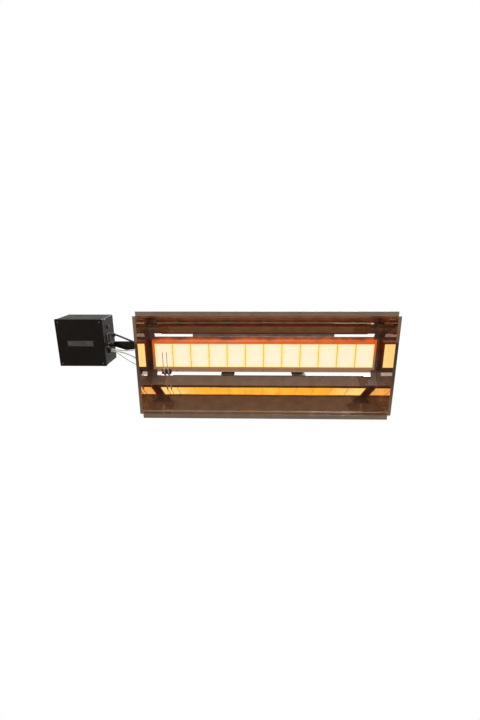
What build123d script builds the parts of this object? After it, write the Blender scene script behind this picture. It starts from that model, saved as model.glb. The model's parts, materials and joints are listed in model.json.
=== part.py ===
from build123d import *
import os
from math import pi, radians, sin, tan

# Gas-fired infrared heater with twelve glowing ceramic plaques in a trapezoidal reflector.
# Frame: X along the heater, +Y towards the wall, +Z up. The origin is the centre of the wall
# bracket's bolt pattern, on the wall. The heater's opening faces -Y. A "depth" is measured from
# the opening plane towards the wall. Millimetres throughout.

# ---------------------------------------------------------------- driving dimensions
WALL_DEPTH = 440.0          # opening plane to wall
REFLECTOR_LENGTH = 1217.0   # outside the side lips
REFLECTOR_HEIGHT = 527.0    # outside the long lips
LONG_LIP = 21.6             # width of the top and bottom lips
SIDE_LIP = 14.5             # width of the end plates' lips
SHEET = 1.0                 # reflector sheet
FOLD_R = 1.6                # inside bend radius of the reflector sheet
OUTER_FACET_DEPTH = 181.0   # depth of the crease between outer and inner facet
FACET_ANGLE = 25.0          # outer facet against the depth axis
REAR_EDGE_DEPTH = 212.0     # depth of the panel's rear edge
EXHAUST_SLOT = 18.6         # between the panel's rear edge and the burner's flange
REAR_FLANGE = 10.0          # rear-turned stiffening flange
BEAD_START = 15.0           # stiffening bead behind the front crease, depth
BEAD_WIDTH = 9.0
BEAD_HEIGHT = 1.6
TAB_START = 34.0            # corner tab on the outer facet, depth
TAB_LENGTH = 72.0
TAB_WIDTH = 19.0
RIVET_R = 2.0
RIVET_HEAD_R = 4.2
END_GAP = 0.2               # between a long panel and an end plate
HOLE_GAP = 0.1              # clearance of a fastener in its hole

PLAQUE_COUNT = 12
PLAQUE_WIDTH = 92.0
PLAQUE_HEIGHT = 132.0
PLAQUE_THICKNESS = 13.0
PLAQUE_PITCH = 95.0
PLAQUE_GAP = 0.1            # between a plaque and its gasket
PLAQUE_EDGE = 1.2           # bevel around a plaque's front
WINDOW_OVERLAP = 3.5        # frame over the plaque's long edges
WINDOW_END = 1.0            # frame over the end plaques' outer edges
GASKET_WALL = 3.4
GASKET_LIP = 1.0
FRAME_SHEET = 1.2
FRAME_BORDER = 9.0
FRAME_SLOPE = 10.5          # bevel's width along Z
FRAME_END_SLOPE = 7.5       # bevel's width along X
FRAME_FRONT_DEPTH = 201.4
FLANGE_DEPTH = 222.0        # front of the frame's flange
FLANGE_WIDTH = 14.4         # flange beyond the bevel
HOUSING_SHEET = 1.5
HOUSING_CLEAR = 6.0         # between the mixing tube and the housing's back
HOUSING_LEDGE = 9.0
FRAME_SCREW_PITCH = 115.0
END_SCREW_INSET = 19.0      # end screws, from the end plates
FRAME_SCREW_R = 2.0
FRAME_SCREW_END = 228.0     # depth of the screws' tips

END_BRACKET_SHEET = 2.0
END_BRACKET_WIDE = 68.0
END_BRACKET_SLOT = 27.0
END_BRACKET_NARROW = 8.0
BRACKET_RIVET_WIDTHS = (14.0, 50.0)

RAIL_LENGTH = 760.0
RAIL_ABOVE = 25.6           # rail's top above the burner tray
RAIL_HEIGHT = 40.0
RAIL_DEPTH = 20.0
RAIL_SHEET = 3.0
SADDLE_X = 190.0
SADDLE_WIDTH = 72.0
SADDLE_SHEET = 3.0
SADDLE_EAR_BASE = 44.0      # half height of the ear at the strap
FOOT_RIVET_REACH = 24.0     # foot rivets either side of the strap's middle
BOLT_R = 3.0                # M6
BOLT_HEX = 10.0
BOLT_HEAD = 4.0
BOLT_REACH = 14.0           # shank under the head
RAIL_BOLT_DROP = 12.0       # rail bolts below the rail's top
RAIL_BOLT_REACH = 22.0      # rail bolts either side of the strap's middle

PIVOT_DEPTH = 360.0
PIVOT_R = 4.0
PIVOT_FIT = 0.08            # radial running clearance of the pivot
PIVOT_WASHER = 1.5
SIDE_GAP = 0.4              # between parts that turn past each other
WALL_SHEET = 4.0
WALL_BRACKET_HEIGHT = 150.0
WALL_HOLE_X = 300.0
WALL_HOLE_Z = 110.0
WALL_HOLE_R = 4.5
EAR_R = 26.0

TUBE_R = 22.0
TUBE_WALL = 1.5
TUBE_AHEAD = 23.4           # between the plaques' back and the mixing tube
TUBE_REACH = 20.0           # mixing tube beyond the reflector's end
TUBE_END_X = -120.0
SHUTTER_FIT = 0.08          # radial running clearance of the shutter on the tube
SHUTTER_WALL = 1.5
SHUTTER_LENGTH = 34.0
AIR_WINDOWS = 4
AIR_WINDOW_ARC = 40.0       # degrees each window spans
AIR_WINDOW_LENGTH = 20.0
STOP_SHEET = 2.0            # stop rings beside the shutter
INJECTOR_R = 6.0
INJECTOR_HEX = 16.0
INJECTOR_BODY = 22.0
PIPE_R = 5.0
PIPE_Z = 88.0               # pipe where it leaves the box
PIPE_INSET = 18.0           # pipe's axis from the box's back
PIPE_NUT_HEX = 18.0

ARM_TOP = 51.0
ARM_LOW = 3.0               # lower edge beside the burner
ARM_LOW_AT_BOX = 27.0       # lower edge at the box
ARM_TAPER = 75.0            # length over which the lower edge rises towards the box
ARM_FLANGE = 16.0
ARM_SHEET = 3.0
ARM_FOOT = 30.0
ARM_OVERLAP = 74.0          # arm's length along the back of the burner

BOX_GAP = 208.5             # between the reflector's end and the control box
BOX_WIDTH = 240.0
BOX_TOP = 196.5
BOX_HEIGHT = 243.0
BOX_FRONT_DEPTH = 162.0
BOX_THICKNESS = 156.0
BOX_SHEET = 1.5
COVER_SKIRT = 13.0
COVER_FIT = 0.25
COVER_SCREW_INSET = 14.0
BOX_RETURN = 24.0           # inward flange behind the cover
BOX_SCREW_R = 2.0
SIDE_SCREW_DEPTH = 202.0
SIDE_SCREW_INSET = 9.0
PLATE_WIDTH = 132.0
PLATE_HEIGHT = 28.0
PLATE_Z = 73.0
PLATE_SHEET = 0.8
BEZEL_R = 11.0
BEZEL_DEPTH = 235.0
BEZEL_Z = 146.0
BEZEL_PROUD = 3.0
BARREL_R = 10.0
BUTTON_R = 7.0
BUTTON_FIT = 0.08           # radial running clearance of the button in its bezel
BUTTON_TRAVEL = 3.0
COIL_R = 16.0
COIL_LENGTH = 46.0
PLUNGER_R = 5.0
PLUNGER_FIT = 0.08
SPRING_WIRE_R = 0.6
INLET_R = 9.3               # gas inlet thread
INLET_LENGTH = 16.0
INLET_HEX = 27.0
INLET_PROUD = 22.0
VALVE_WIDTH = 92.0
VALVE_DEPTH = 54.0
VALVE_HEIGHT = 60.0
VALVE_BOTTOM = 58.0
VALVE_TO_WALL = 76.0        # valve's right end to the box's right face
COIL_PITCH = 42.0
PLUNGER_LENGTH = 30.0
SOCKET_DEPTH = 228.0        # power inlet's middle
SOCKET_Z = 85.0
SOCKET_WIDTH = 30.0
SOCKET_HEIGHT = 46.0
SOCKET_RIM = 6.0
SOCKET_PROUD = 4.0
SOCKET_HOLLOW = 18.0
STUD_R = 3.0
STUD_DEPTH = 206.0
STUD_Z = 43.0
GLAND_R = 13.0
GLAND_PROUD = 9.0
GLAND_DEPTH = 224.0
GLAND_Z = 21.0

ROD_R = 1.5
INSULATOR_R = 4.5
INSULATOR_LENGTH = 90.0
ELECTRODE_INSETS = (42.5, 63.5)   # electrodes, from the end of the plaque row
ROD_STANDOFF = 13.4         # rods ahead of the burner frame
ROD_TOP = 20.0
INSULATOR_DROP = 0.5        # rod's bend above the window's lower edge
INSULATOR_SLOPE = 0.68      # depth gained for each millimetre downwards
INSULATOR_START = 4.0       # insulator's upper end from the rod's bend
COLLAR_START = 52.0
BRACKET_SHEET = 1.5
BRACKET_LEG = 18.0
BRACKET_WIDTH = 52.0
ELECTRODE_NOTCH = 62.0      # gap in the bottom panel's rear flange

LEAD_R = 3.5
EARTH_LEAD_R = 1.75

# ---------------------------------------------------------------- derived values
HALF_MOUTH = REFLECTOR_HEIGHT / 2 - LONG_LIP
END_X = REFLECTOR_LENGTH / 2 - SIDE_LIP
PANEL_LENGTH = 2 * (END_X - END_GAP)
FACET_CREASE_HEIGHT = HALF_MOUTH - OUTER_FACET_DEPTH * tan(radians(FACET_ANGLE))
HALF_PLAQUES = ((PLAQUE_COUNT - 1) * PLAQUE_PITCH + PLAQUE_WIDTH) / 2
WINDOW_X = HALF_PLAQUES - WINDOW_END
WINDOW_Z = PLAQUE_HEIGHT / 2 - WINDOW_OVERLAP
BORDER_X = WINDOW_X + FRAME_BORDER
BORDER_Z = WINDOW_Z + FRAME_BORDER
BEVEL_X = BORDER_X + FRAME_END_SLOPE
BEVEL_Z = BORDER_Z + FRAME_SLOPE
FLANGE_X = END_X - 2.0
FLANGE_HALF_HEIGHT = BEVEL_Z + FLANGE_WIDTH
REAR_EDGE_HEIGHT = FLANGE_HALF_HEIGHT + EXHAUST_SLOT
GASKET_X = HALF_PLAQUES + GASKET_WALL - WINDOW_END
GASKET_Z = PLAQUE_HEIGHT / 2 + GASKET_WALL
GASKET_DEPTH = FRAME_FRONT_DEPTH + FRAME_SHEET
PLAQUE_DEPTH = GASKET_DEPTH + GASKET_LIP
PLAQUE_BACK_DEPTH = PLAQUE_DEPTH + PLAQUE_THICKNESS
TRAY_X = GASKET_X + HOUSING_SHEET
TRAY_Z = GASKET_Z + HOUSING_SHEET
TUBE_DEPTH = PLAQUE_BACK_DEPTH + TUBE_AHEAD + TUBE_R
HOUSING_BACK_DEPTH = TUBE_DEPTH + TUBE_R + HOUSING_CLEAR
RAIL_TOP = TRAY_Z + RAIL_ABOVE
RAIL_BOLT_Z = RAIL_TOP - RAIL_BOLT_DROP
BOX_RIGHT = -REFLECTOR_LENGTH / 2 - BOX_GAP
BOX_LEFT = BOX_RIGHT - BOX_WIDTH
BOX_BOTTOM = BOX_TOP - BOX_HEIGHT
BOX_BACK_DEPTH = BOX_FRONT_DEPTH + BOX_THICKNESS
PIPE_DEPTH = BOX_BACK_DEPTH - PIPE_INSET
BOX_X = BOX_LEFT + BOX_WIDTH / 2
BOX_Z = BOX_TOP - BOX_HEIGHT / 2
SADDLE_FRONT = HOUSING_BACK_DEPTH + RAIL_SHEET
SADDLE_OUTER = SADDLE_X + SADDLE_WIDTH / 2
RAIL_BOLT_XS = [side * SADDLE_X + end * RAIL_BOLT_REACH for side in (-1, 1) for end in (-1, 1)]
FOOT_RIVET_XS = [side * SADDLE_X + end * FOOT_RIVET_REACH for side in (-1, 1) for end in (-1, 1)]
END_SCREW_X = END_X - END_SCREW_INSET
INNER_SCREWS = int((END_SCREW_X - FRAME_SCREW_PITCH / 2) / FRAME_SCREW_PITCH)
SCREW_XS = [i * FRAME_SCREW_PITCH for i in range(-INNER_SCREWS, INNER_SCREWS + 1)]
SCREW_XS += [-END_SCREW_X, END_SCREW_X]
SCREW_Z = (BEVEL_Z + FLANGE_HALF_HEIGHT) / 2
TUBE_INLET_X = -REFLECTOR_LENGTH / 2 - TUBE_REACH
ELECTRODE_XS = [inset - HALF_PLAQUES for inset in ELECTRODE_INSETS]
ROD_DEPTH = FRAME_FRONT_DEPTH - ROD_STANDOFF
INSULATOR_TOP = INSULATOR_DROP - WINDOW_Z
INSULATOR_AXIS = Vector(0, INSULATOR_SLOPE, -1).normalized()


def at(depth):
    """Y of a depth behind the opening plane."""
    return depth - WALL_DEPTH


def facet_plane(x, depth, side):
    """Plane on the inner surface of an outer facet, facing the cavity. side is +1 for the top."""
    slope = radians(FACET_ANGLE)
    height = HALF_MOUTH - depth * tan(slope)
    normal = Vector(0, -1, -side / tan(slope)).normalized()
    return Plane(Vector(x, at(depth), side * height), (1, 0, 0), normal)


def inner_facet_plane(x, share, side):
    """Plane on the inner surface of an inner facet, a share of the way from crease to rear edge."""
    run = REAR_EDGE_DEPTH - OUTER_FACET_DEPTH
    fall = FACET_CREASE_HEIGHT - REAR_EDGE_HEIGHT
    depth = OUTER_FACET_DEPTH + share * run
    height = FACET_CREASE_HEIGHT - share * fall
    return Plane(Vector(x, at(depth), side * height), (1, 0, 0), Vector(0, -fall, -side * run))


def front(depth, x=0.0, z=0.0):
    """Plane facing the wall at a depth, with X along the heater and -Z up in the plane."""
    return Plane((x, at(depth), z), (1, 0, 0), (0, 1, 0))


def across(x, depth, z=0.0):
    """Plane across the heater, facing +X, with Y and Z in it."""
    return Plane((x, at(depth), z), (0, 1, 0), (1, 0, 0))


def foot_plane(x):
    """Plane on the bottom panel's rear flange, facing up."""
    return Plane((x, at(REAR_EDGE_DEPTH + FOLD_R + REAR_FLANGE / 2 - 1.0), -REAR_EDGE_HEIGHT))


def save(piece, label):
    """Label a finished piece and write its STEP file."""
    piece.part.label = label
    export_step(piece.part, f"parts/{label}.step")


os.makedirs("parts", exist_ok=True)

# ---------------------------------------------------------------- reflector panels
NOTCH_X = sum(ELECTRODE_XS) / 2
TAB_RIVET_X = END_X - TAB_WIDTH * 0.45
TAB_RIVETS = [(side_x, side, facet_plane(side_x * TAB_RIVET_X, TAB_START + TAB_LENGTH * share, side))
              for side_x in (-1, 1) for side in (-1, 1) for share in (0.2, 0.8)]
BRACKET_RIVETS = [(side_x, side, inner_facet_plane(side_x * (END_X - width), 0.3, side))
                  for side_x in (-1, 1) for side in (-1, 1) for width in BRACKET_RIVET_WIDTHS]
FOOT_RIVETS = [foot_plane(x) for x in FOOT_RIVET_XS]


def drill(planes, radius, depth):
    """Drill round holes through the piece in hand, centred on planes."""
    with Locations(*[plane.location for plane in planes]):
        Cylinder(radius + HOLE_GAP, depth, mode=Mode.SUBTRACT)


def panel_line(side):
    """Fold line of a long panel, from the lip's edge to the rear flange's edge."""
    slope = tan(radians(FACET_ANGLE))
    bead_end = BEAD_START + BEAD_WIDTH
    bead_middle = BEAD_START + BEAD_WIDTH / 2
    line = [
        (0.0, REFLECTOR_HEIGHT / 2),
        (0.0, HALF_MOUTH),
        (BEAD_START, HALF_MOUTH - BEAD_START * slope),
        (bead_middle, HALF_MOUTH - bead_middle * slope - BEAD_HEIGHT),
        (bead_end, HALF_MOUTH - bead_end * slope),
        (OUTER_FACET_DEPTH, FACET_CREASE_HEIGHT),
        (REAR_EDGE_DEPTH, REAR_EDGE_HEIGHT),
        (REAR_EDGE_DEPTH + REAR_FLANGE, REAR_EDGE_HEIGHT),
    ]
    return [(at(depth), side * height) for depth, height in line]


for side, label in ((1, "reflector_top_panel"), (-1, "reflector_bottom_panel")):
    with BuildPart() as panel:
        with BuildSketch(Plane.YZ.offset(-PANEL_LENGTH / 2)):
            with BuildLine():
                FilletPolyline(*panel_line(side), radius=FOLD_R)
                offset(amount=SHEET, side=Side.LEFT if side > 0 else Side.RIGHT)
            make_face()
        extrude(amount=PANEL_LENGTH)
        drill([plane for _, row, plane in TAB_RIVETS + BRACKET_RIVETS if row == side], RIVET_R, 6 * SHEET)
        if side < 0:
            drill(FOOT_RIVETS, RIVET_R, 6 * SHEET)
            with Locations((NOTCH_X, at(REAR_EDGE_DEPTH + FOLD_R + REAR_FLANGE), -REAR_EDGE_HEIGHT)):
                Box(ELECTRODE_NOTCH, 2 * REAR_FLANGE, 4 * SHEET, mode=Mode.SUBTRACT)
    save(panel, label)

# ---------------------------------------------------------------- reflector end plates
END_OUTLINE = [
    (0.0, HALF_MOUTH + SHEET),
    (OUTER_FACET_DEPTH, FACET_CREASE_HEIGHT + SHEET),
    (REAR_EDGE_DEPTH + SHEET, REAR_EDGE_HEIGHT + SHEET),
    (REAR_EDGE_DEPTH + REAR_FLANGE, REAR_EDGE_HEIGHT + SHEET),
]
END_OUTLINE += [(depth, -height) for depth, height in reversed(END_OUTLINE)]

for side_x, label in ((-1, "reflector_end_left"), (1, "reflector_end_right")):
    with BuildPart() as end_plate:
        with BuildSketch(Plane.YZ.offset(END_X if side_x > 0 else -END_X - SHEET)):
            with BuildLine():
                Polyline(*[(at(depth), height) for depth, height in END_OUTLINE], close=True)
            make_face()
        extrude(amount=SHEET)
        with Locations((side_x * (END_X + SIDE_LIP / 2), at(SHEET / 2), 0)):
            Box(SIDE_LIP, SHEET, 2 * HALF_MOUTH)
        for side in (-1, 1):
            tab_middle = TAB_START + TAB_LENGTH / 2
            with BuildSketch(facet_plane(side_x * (END_X - TAB_WIDTH / 2), tab_middle, side)):
                Rectangle(TAB_WIDTH, TAB_LENGTH)
            extrude(amount=SHEET)
        drill([plane for end, _, plane in TAB_RIVETS if end == side_x], RIVET_R, 6 * SHEET)
        tab_edges = end_plate.edges().filter_by(lambda e: abs(e.length - SHEET) < 1e-3).group_by(
            lambda e: abs(e.center().X))[0]
        fillet(tab_edges, radius=6.0)
    save(end_plate, label)

# ---------------------------------------------------------------- burner frame and plaques
with BuildPart() as burner_frame:
    with BuildSketch(front(FLANGE_DEPTH)):
        Rectangle(2 * FLANGE_X, 2 * FLANGE_HALF_HEIGHT)
    extrude(amount=FRAME_SHEET)
    with BuildSketch(front(FRAME_FRONT_DEPTH)):
        Rectangle(2 * BORDER_X, 2 * BORDER_Z)
    with BuildSketch(front(FLANGE_DEPTH)):
        Rectangle(2 * BEVEL_X, 2 * BEVEL_Z)
    loft()
    with BuildSketch(front(FRAME_FRONT_DEPTH + FRAME_SHEET)):
        Rectangle(2 * (BORDER_X - FRAME_SHEET / 2), 2 * (BORDER_Z - FRAME_SHEET / 2))
    with BuildSketch(front(FLANGE_DEPTH + FRAME_SHEET)):
        Rectangle(2 * (BEVEL_X - FRAME_SHEET / 2), 2 * (BEVEL_Z - FRAME_SHEET / 2))
    loft(mode=Mode.SUBTRACT)
    with BuildSketch(front(FRAME_FRONT_DEPTH)):
        Rectangle(2 * WINDOW_X, 2 * WINDOW_Z)
    extrude(amount=PLAQUE_THICKNESS, mode=Mode.SUBTRACT)
    with BuildSketch(front(FLANGE_DEPTH)):
        for screw_x in SCREW_XS:
            with Locations((screw_x, SCREW_Z), (screw_x, -SCREW_Z)):
                Circle(FRAME_SCREW_R + HOLE_GAP)
    extrude(amount=FRAME_SHEET, mode=Mode.SUBTRACT)
    bevel_edges = burner_frame.edges().filter_by(Axis.X).group_by(Axis.Y)[0].group_by(SortBy.LENGTH)[-1]
    fillet(bevel_edges, radius=1.0)
save(burner_frame, "burner_frame")

with BuildPart() as plaque_gasket:
    with BuildSketch(front(GASKET_DEPTH)):
        Rectangle(2 * GASKET_X, 2 * GASKET_Z)
    extrude(amount=GASKET_LIP + PLAQUE_THICKNESS)
    with BuildSketch(front(GASKET_DEPTH)):
        with GridLocations(PLAQUE_PITCH, 1, PLAQUE_COUNT, 1):
            Rectangle(PLAQUE_WIDTH - WINDOW_END, 2 * WINDOW_Z)
    extrude(amount=GASKET_LIP, mode=Mode.SUBTRACT)
    with BuildSketch(front(PLAQUE_DEPTH)):
        with GridLocations(PLAQUE_PITCH, 1, PLAQUE_COUNT, 1):
            Rectangle(PLAQUE_WIDTH + 2 * PLAQUE_GAP, PLAQUE_HEIGHT + 2 * PLAQUE_GAP)
    extrude(amount=PLAQUE_THICKNESS, mode=Mode.SUBTRACT)
save(plaque_gasket, "plaque_gasket")

for index in range(PLAQUE_COUNT):
    plaque_x = (index - (PLAQUE_COUNT - 1) / 2) * PLAQUE_PITCH
    with BuildPart() as plaque:
        with BuildSketch(front(PLAQUE_DEPTH)):
            with Locations((plaque_x, 0)):
                Rectangle(PLAQUE_WIDTH, PLAQUE_HEIGHT)
        extrude(amount=PLAQUE_THICKNESS)
        chamfer(plaque.faces().sort_by(Axis.Y)[0].edges(), PLAQUE_EDGE)
    save(plaque, f"ceramic_plaque_{index + 1:02d}")

# ---------------------------------------------------------------- burner housing
FLANGE_BACK = FLANGE_DEPTH + FRAME_SHEET
ARM_BOLTS = [front(HOUSING_BACK_DEPTH, -TRAY_X + reach, (ARM_TOP + ARM_LOW) / 2) for reach in (16.0, 56.0)]
with BuildPart() as burner_housing:
    with BuildSketch(front(PLAQUE_BACK_DEPTH)):
        Rectangle(2 * TRAY_X, 2 * TRAY_Z)
    extrude(amount=HOUSING_BACK_DEPTH - PLAQUE_BACK_DEPTH)
    with BuildSketch(front(FLANGE_BACK)):
        Rectangle(2 * FLANGE_X, 2 * FLANGE_HALF_HEIGHT)
    extrude(amount=HOUSING_SHEET)
    with BuildSketch(front(PLAQUE_BACK_DEPTH + HOUSING_SHEET)):
        Rectangle(2 * GASKET_X, 2 * GASKET_Z)
    extrude(amount=HOUSING_BACK_DEPTH - PLAQUE_BACK_DEPTH - 2 * HOUSING_SHEET, mode=Mode.SUBTRACT)
    with BuildSketch(front(PLAQUE_BACK_DEPTH)):
        Rectangle(2 * (GASKET_X - HOUSING_LEDGE), 2 * (GASKET_Z - HOUSING_LEDGE))
    extrude(amount=HOUSING_SHEET, mode=Mode.SUBTRACT)
    with BuildSketch(Plane.YZ.offset(-TRAY_X)):
        with Locations((at(TUBE_DEPTH), 0)):
            Circle(TUBE_R + HOLE_GAP)
    extrude(amount=HOUSING_SHEET, mode=Mode.SUBTRACT)
    with BuildSketch(front(FLANGE_BACK)):
        for screw_x in SCREW_XS:
            with Locations((screw_x, SCREW_Z), (screw_x, -SCREW_Z)):
                Circle(FRAME_SCREW_R + HOLE_GAP)
    extrude(amount=HOUSING_SHEET, mode=Mode.SUBTRACT)
    drill(ARM_BOLTS, BOLT_R, 4 * HOUSING_SHEET)
save(burner_housing, "burner_housing")

# ---------------------------------------------------------------- burner end brackets
BRACKET_CLEAR = 4.0         # bracket's start behind the crease, along the inner facet


def end_bracket_line():
    """Contact line of an end bracket: inner facet, slot, flange, slot, inner facet."""
    run = REAR_EDGE_DEPTH - OUTER_FACET_DEPTH
    fall = FACET_CREASE_HEIGHT - REAR_EDGE_HEIGHT
    share = BRACKET_CLEAR / (run ** 2 + fall ** 2) ** 0.5
    upper = [
        (OUTER_FACET_DEPTH + share * run, FACET_CREASE_HEIGHT - share * fall),
        (REAR_EDGE_DEPTH, REAR_EDGE_HEIGHT),
        (FLANGE_DEPTH, FLANGE_HALF_HEIGHT + 1.0),
    ]
    lower = [(depth, -height) for depth, height in reversed(upper)]
    return [(at(depth), height) for depth, height in upper + lower]


for side_x, label in ((-1, "burner_end_bracket_left"), (1, "burner_end_bracket_right")):
    with BuildPart() as end_bracket:
        outer_x = END_X - END_GAP
        start_x = -outer_x if side_x < 0 else outer_x - END_BRACKET_WIDE
        with BuildSketch(Plane.YZ.offset(start_x)):
            with BuildLine():
                Polyline(*end_bracket_line())
                offset(amount=END_BRACKET_SHEET, side=Side.RIGHT)
            make_face()
        extrude(amount=END_BRACKET_WIDE)
        half_outline = [
            (END_BRACKET_WIDE, FACET_CREASE_HEIGHT),
            (END_BRACKET_SLOT, REAR_EDGE_HEIGHT + 4.0),
            (END_BRACKET_SLOT, BEVEL_Z + 1.0),
            (END_BRACKET_NARROW, BEVEL_Z + 1.0),
        ]
        outline = half_outline + [(width, -z) for width, z in reversed(half_outline)]
        with BuildSketch(front(OUTER_FACET_DEPTH - 10.0)):
            with BuildLine():
                corners = [(side_x * (outer_x - width), -z) for width, z in outline]
                ends = [(side_x * outer_x, FACET_CREASE_HEIGHT), (side_x * outer_x, -FACET_CREASE_HEIGHT)]
                Polyline(*corners, *ends, close=True)
            make_face()
        extrude(amount=WALL_DEPTH - OUTER_FACET_DEPTH, mode=Mode.INTERSECT)
        drill([front(FLANGE_DEPTH, side_x * END_SCREW_X, z) for z in (-SCREW_Z, SCREW_Z)], FRAME_SCREW_R, 8.0)
        drill([plane for end, _, plane in BRACKET_RIVETS if end == side_x], RIVET_R, 8.0)
    save(end_bracket, label)

with BuildPart() as frame_screws:
    for screw_x in SCREW_XS:
        under_bracket = abs(screw_x) > END_X - END_BRACKET_SLOT
        head_depth = FLANGE_DEPTH - (END_BRACKET_SHEET if under_bracket else 0.0)
        for screw_z in (-SCREW_Z, SCREW_Z):
            with BuildSketch(front(head_depth, screw_x, screw_z)):
                Circle(2 * FRAME_SCREW_R)
            extrude(amount=-2.0, taper=14)
            with BuildSketch(front(head_depth, screw_x, screw_z)):
                Circle(FRAME_SCREW_R)
            extrude(amount=FRAME_SCREW_END - head_depth)
save(frame_screws, "frame_screws")

# ---------------------------------------------------------------- rear rail and saddle brackets
with BuildPart() as rear_rail:
    with BuildSketch(Plane.YZ.offset(-RAIL_LENGTH / 2)):
        with BuildLine():
            Polyline((at(HOUSING_BACK_DEPTH), RAIL_TOP - RAIL_HEIGHT),
                     (at(HOUSING_BACK_DEPTH), RAIL_TOP),
                     (at(HOUSING_BACK_DEPTH + RAIL_DEPTH), RAIL_TOP))
            offset(amount=RAIL_SHEET, side=Side.RIGHT)
        make_face()
    extrude(amount=RAIL_LENGTH)
    drill([front(HOUSING_BACK_DEPTH, x, RAIL_BOLT_Z) for x in RAIL_BOLT_XS], BOLT_R, 4 * RAIL_SHEET)
save(rear_rail, "rear_rail")

for side_x, label in ((-1, "saddle_bracket_left"), (1, "saddle_bracket_right")):
    with BuildPart() as saddle:
        with BuildSketch(Plane.YZ.offset(side_x * SADDLE_X - SADDLE_WIDTH / 2)):
            with BuildLine():
                Polyline((at(SADDLE_FRONT), RAIL_TOP - RAIL_SHEET - 2.0),
                         (at(SADDLE_FRONT), SADDLE_SHEET - REAR_EDGE_HEIGHT),
                         (at(REAR_EDGE_DEPTH + FOLD_R), SADDLE_SHEET - REAR_EDGE_HEIGHT))
                offset(amount=SADDLE_SHEET, side=Side.LEFT)
            make_face()
        extrude(amount=SADDLE_WIDTH)
        ear_x = SADDLE_OUTER - SADDLE_SHEET if side_x > 0 else -SADDLE_OUTER
        with BuildSketch(across(ear_x, PIVOT_DEPTH)):
            Circle(EAR_R)
            with BuildLine():
                reach = PIVOT_DEPTH - SADDLE_FRONT
                Polyline((-reach, SADDLE_EAR_BASE), (0, EAR_R), (0, -EAR_R), (-reach, -SADDLE_EAR_BASE),
                         close=True)
            make_face()
            Circle(PIVOT_R + PIVOT_FIT, mode=Mode.SUBTRACT)
        extrude(amount=SADDLE_SHEET)
        drill([front(SADDLE_FRONT, x, RAIL_BOLT_Z) for x in RAIL_BOLT_XS if x * side_x > 0], BOLT_R, 12.0)
        drill([foot_plane(x) for x in FOOT_RIVET_XS if x * side_x > 0], RIVET_R, 12.0)
    save(saddle, label)

RIVETS = [(plane, SHEET) for _, _, plane in TAB_RIVETS]
RIVETS += [(plane, END_BRACKET_SHEET) for _, _, plane in BRACKET_RIVETS]
RIVETS += [(plane, SADDLE_SHEET) for plane in FOOT_RIVETS]
with BuildPart() as reflector_rivets:
    for plane, cover in RIVETS:
        with BuildSketch(plane.offset(cover)):
            Circle(RIVET_HEAD_R)
        extrude(amount=1.8, taper=38)
        with BuildSketch(plane.offset(-SHEET)):
            Circle(RIVET_R)
        extrude(amount=SHEET + cover)
        with BuildSketch(plane.offset(-SHEET)):
            Circle(RIVET_R + 1.2)
        extrude(amount=-1.2)
save(reflector_rivets, "reflector_rivets")

# ---------------------------------------------------------------- tilt pivot and wall bracket
WASHER_OUTER = SADDLE_OUTER + PIVOT_WASHER
WALL_EAR_INNER = WASHER_OUTER + SIDE_GAP
WALL_EAR_OUTER = WALL_EAR_INNER + WALL_SHEET
NUT_FACE = SADDLE_OUTER - SADDLE_SHEET - SIDE_GAP
NUT_THICKNESS = 7.0
PIVOT_HEAD = 6.0

with BuildPart() as wall_bracket:
    with BuildSketch(front(WALL_DEPTH)):
        RectangleRounded(2 * WALL_EAR_OUTER, WALL_BRACKET_HEIGHT, 6.0)
        with GridLocations(WALL_HOLE_X, WALL_HOLE_Z, 2, 2):
            Circle(WALL_HOLE_R, mode=Mode.SUBTRACT)
    extrude(amount=-WALL_SHEET)
    for side_x in (-1, 1):
        with BuildSketch(across(WALL_EAR_INNER if side_x > 0 else -WALL_EAR_OUTER, PIVOT_DEPTH)):
            Circle(EAR_R)
            with BuildLine():
                reach = WALL_DEPTH - PIVOT_DEPTH - WALL_SHEET
                foot = WALL_BRACKET_HEIGHT / 2 - 6.0
                Polyline((reach, foot), (0, EAR_R), (0, -EAR_R), (reach, -foot), close=True)
            make_face()
            Circle(PIVOT_R + HOLE_GAP, mode=Mode.SUBTRACT)
        extrude(amount=WALL_SHEET)
save(wall_bracket, "wall_bracket")

with BuildPart() as pivot_bolts:
    for side_x in (-1, 1):
        with BuildSketch(across(side_x * WALL_EAR_OUTER, PIVOT_DEPTH)):
            RegularPolygon(6.5, 6, major_radius=False)
        extrude(amount=side_x * PIVOT_HEAD)
        with BuildSketch(across(side_x * (NUT_FACE - NUT_THICKNESS - 2.0), PIVOT_DEPTH)):
            Circle(PIVOT_R)
        extrude(amount=side_x * (WALL_EAR_OUTER - NUT_FACE + NUT_THICKNESS + 2.0))
save(pivot_bolts, "pivot_bolts")

with BuildPart() as pivot_nuts:
    for side_x in (-1, 1):
        with BuildSketch(across(side_x * NUT_FACE, PIVOT_DEPTH)):
            RegularPolygon(6.5, 6, major_radius=False)
            Circle(PIVOT_R, mode=Mode.SUBTRACT)
        extrude(amount=-side_x * NUT_THICKNESS)
save(pivot_nuts, "pivot_nuts")

with BuildPart() as friction_washers:
    for side_x in (-1, 1):
        with BuildSketch(across(side_x * SADDLE_OUTER, PIVOT_DEPTH)):
            Circle(0.7 * EAR_R)
            Circle(PIVOT_R + PIVOT_FIT, mode=Mode.SUBTRACT)
        extrude(amount=side_x * PIVOT_WASHER)
save(friction_washers, "friction_washers")

# ---------------------------------------------------------------- mixing tube, shutter, injector
WINDOW_CENTRE_X = TUBE_INLET_X + SIDE_GAP + SHUTTER_LENGTH / 2
WINDOW_CHORD = 2 * TUBE_R * sin(radians(AIR_WINDOW_ARC / 2))
STOP_R = TUBE_R + SHUTTER_WALL + 1.0


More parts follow.
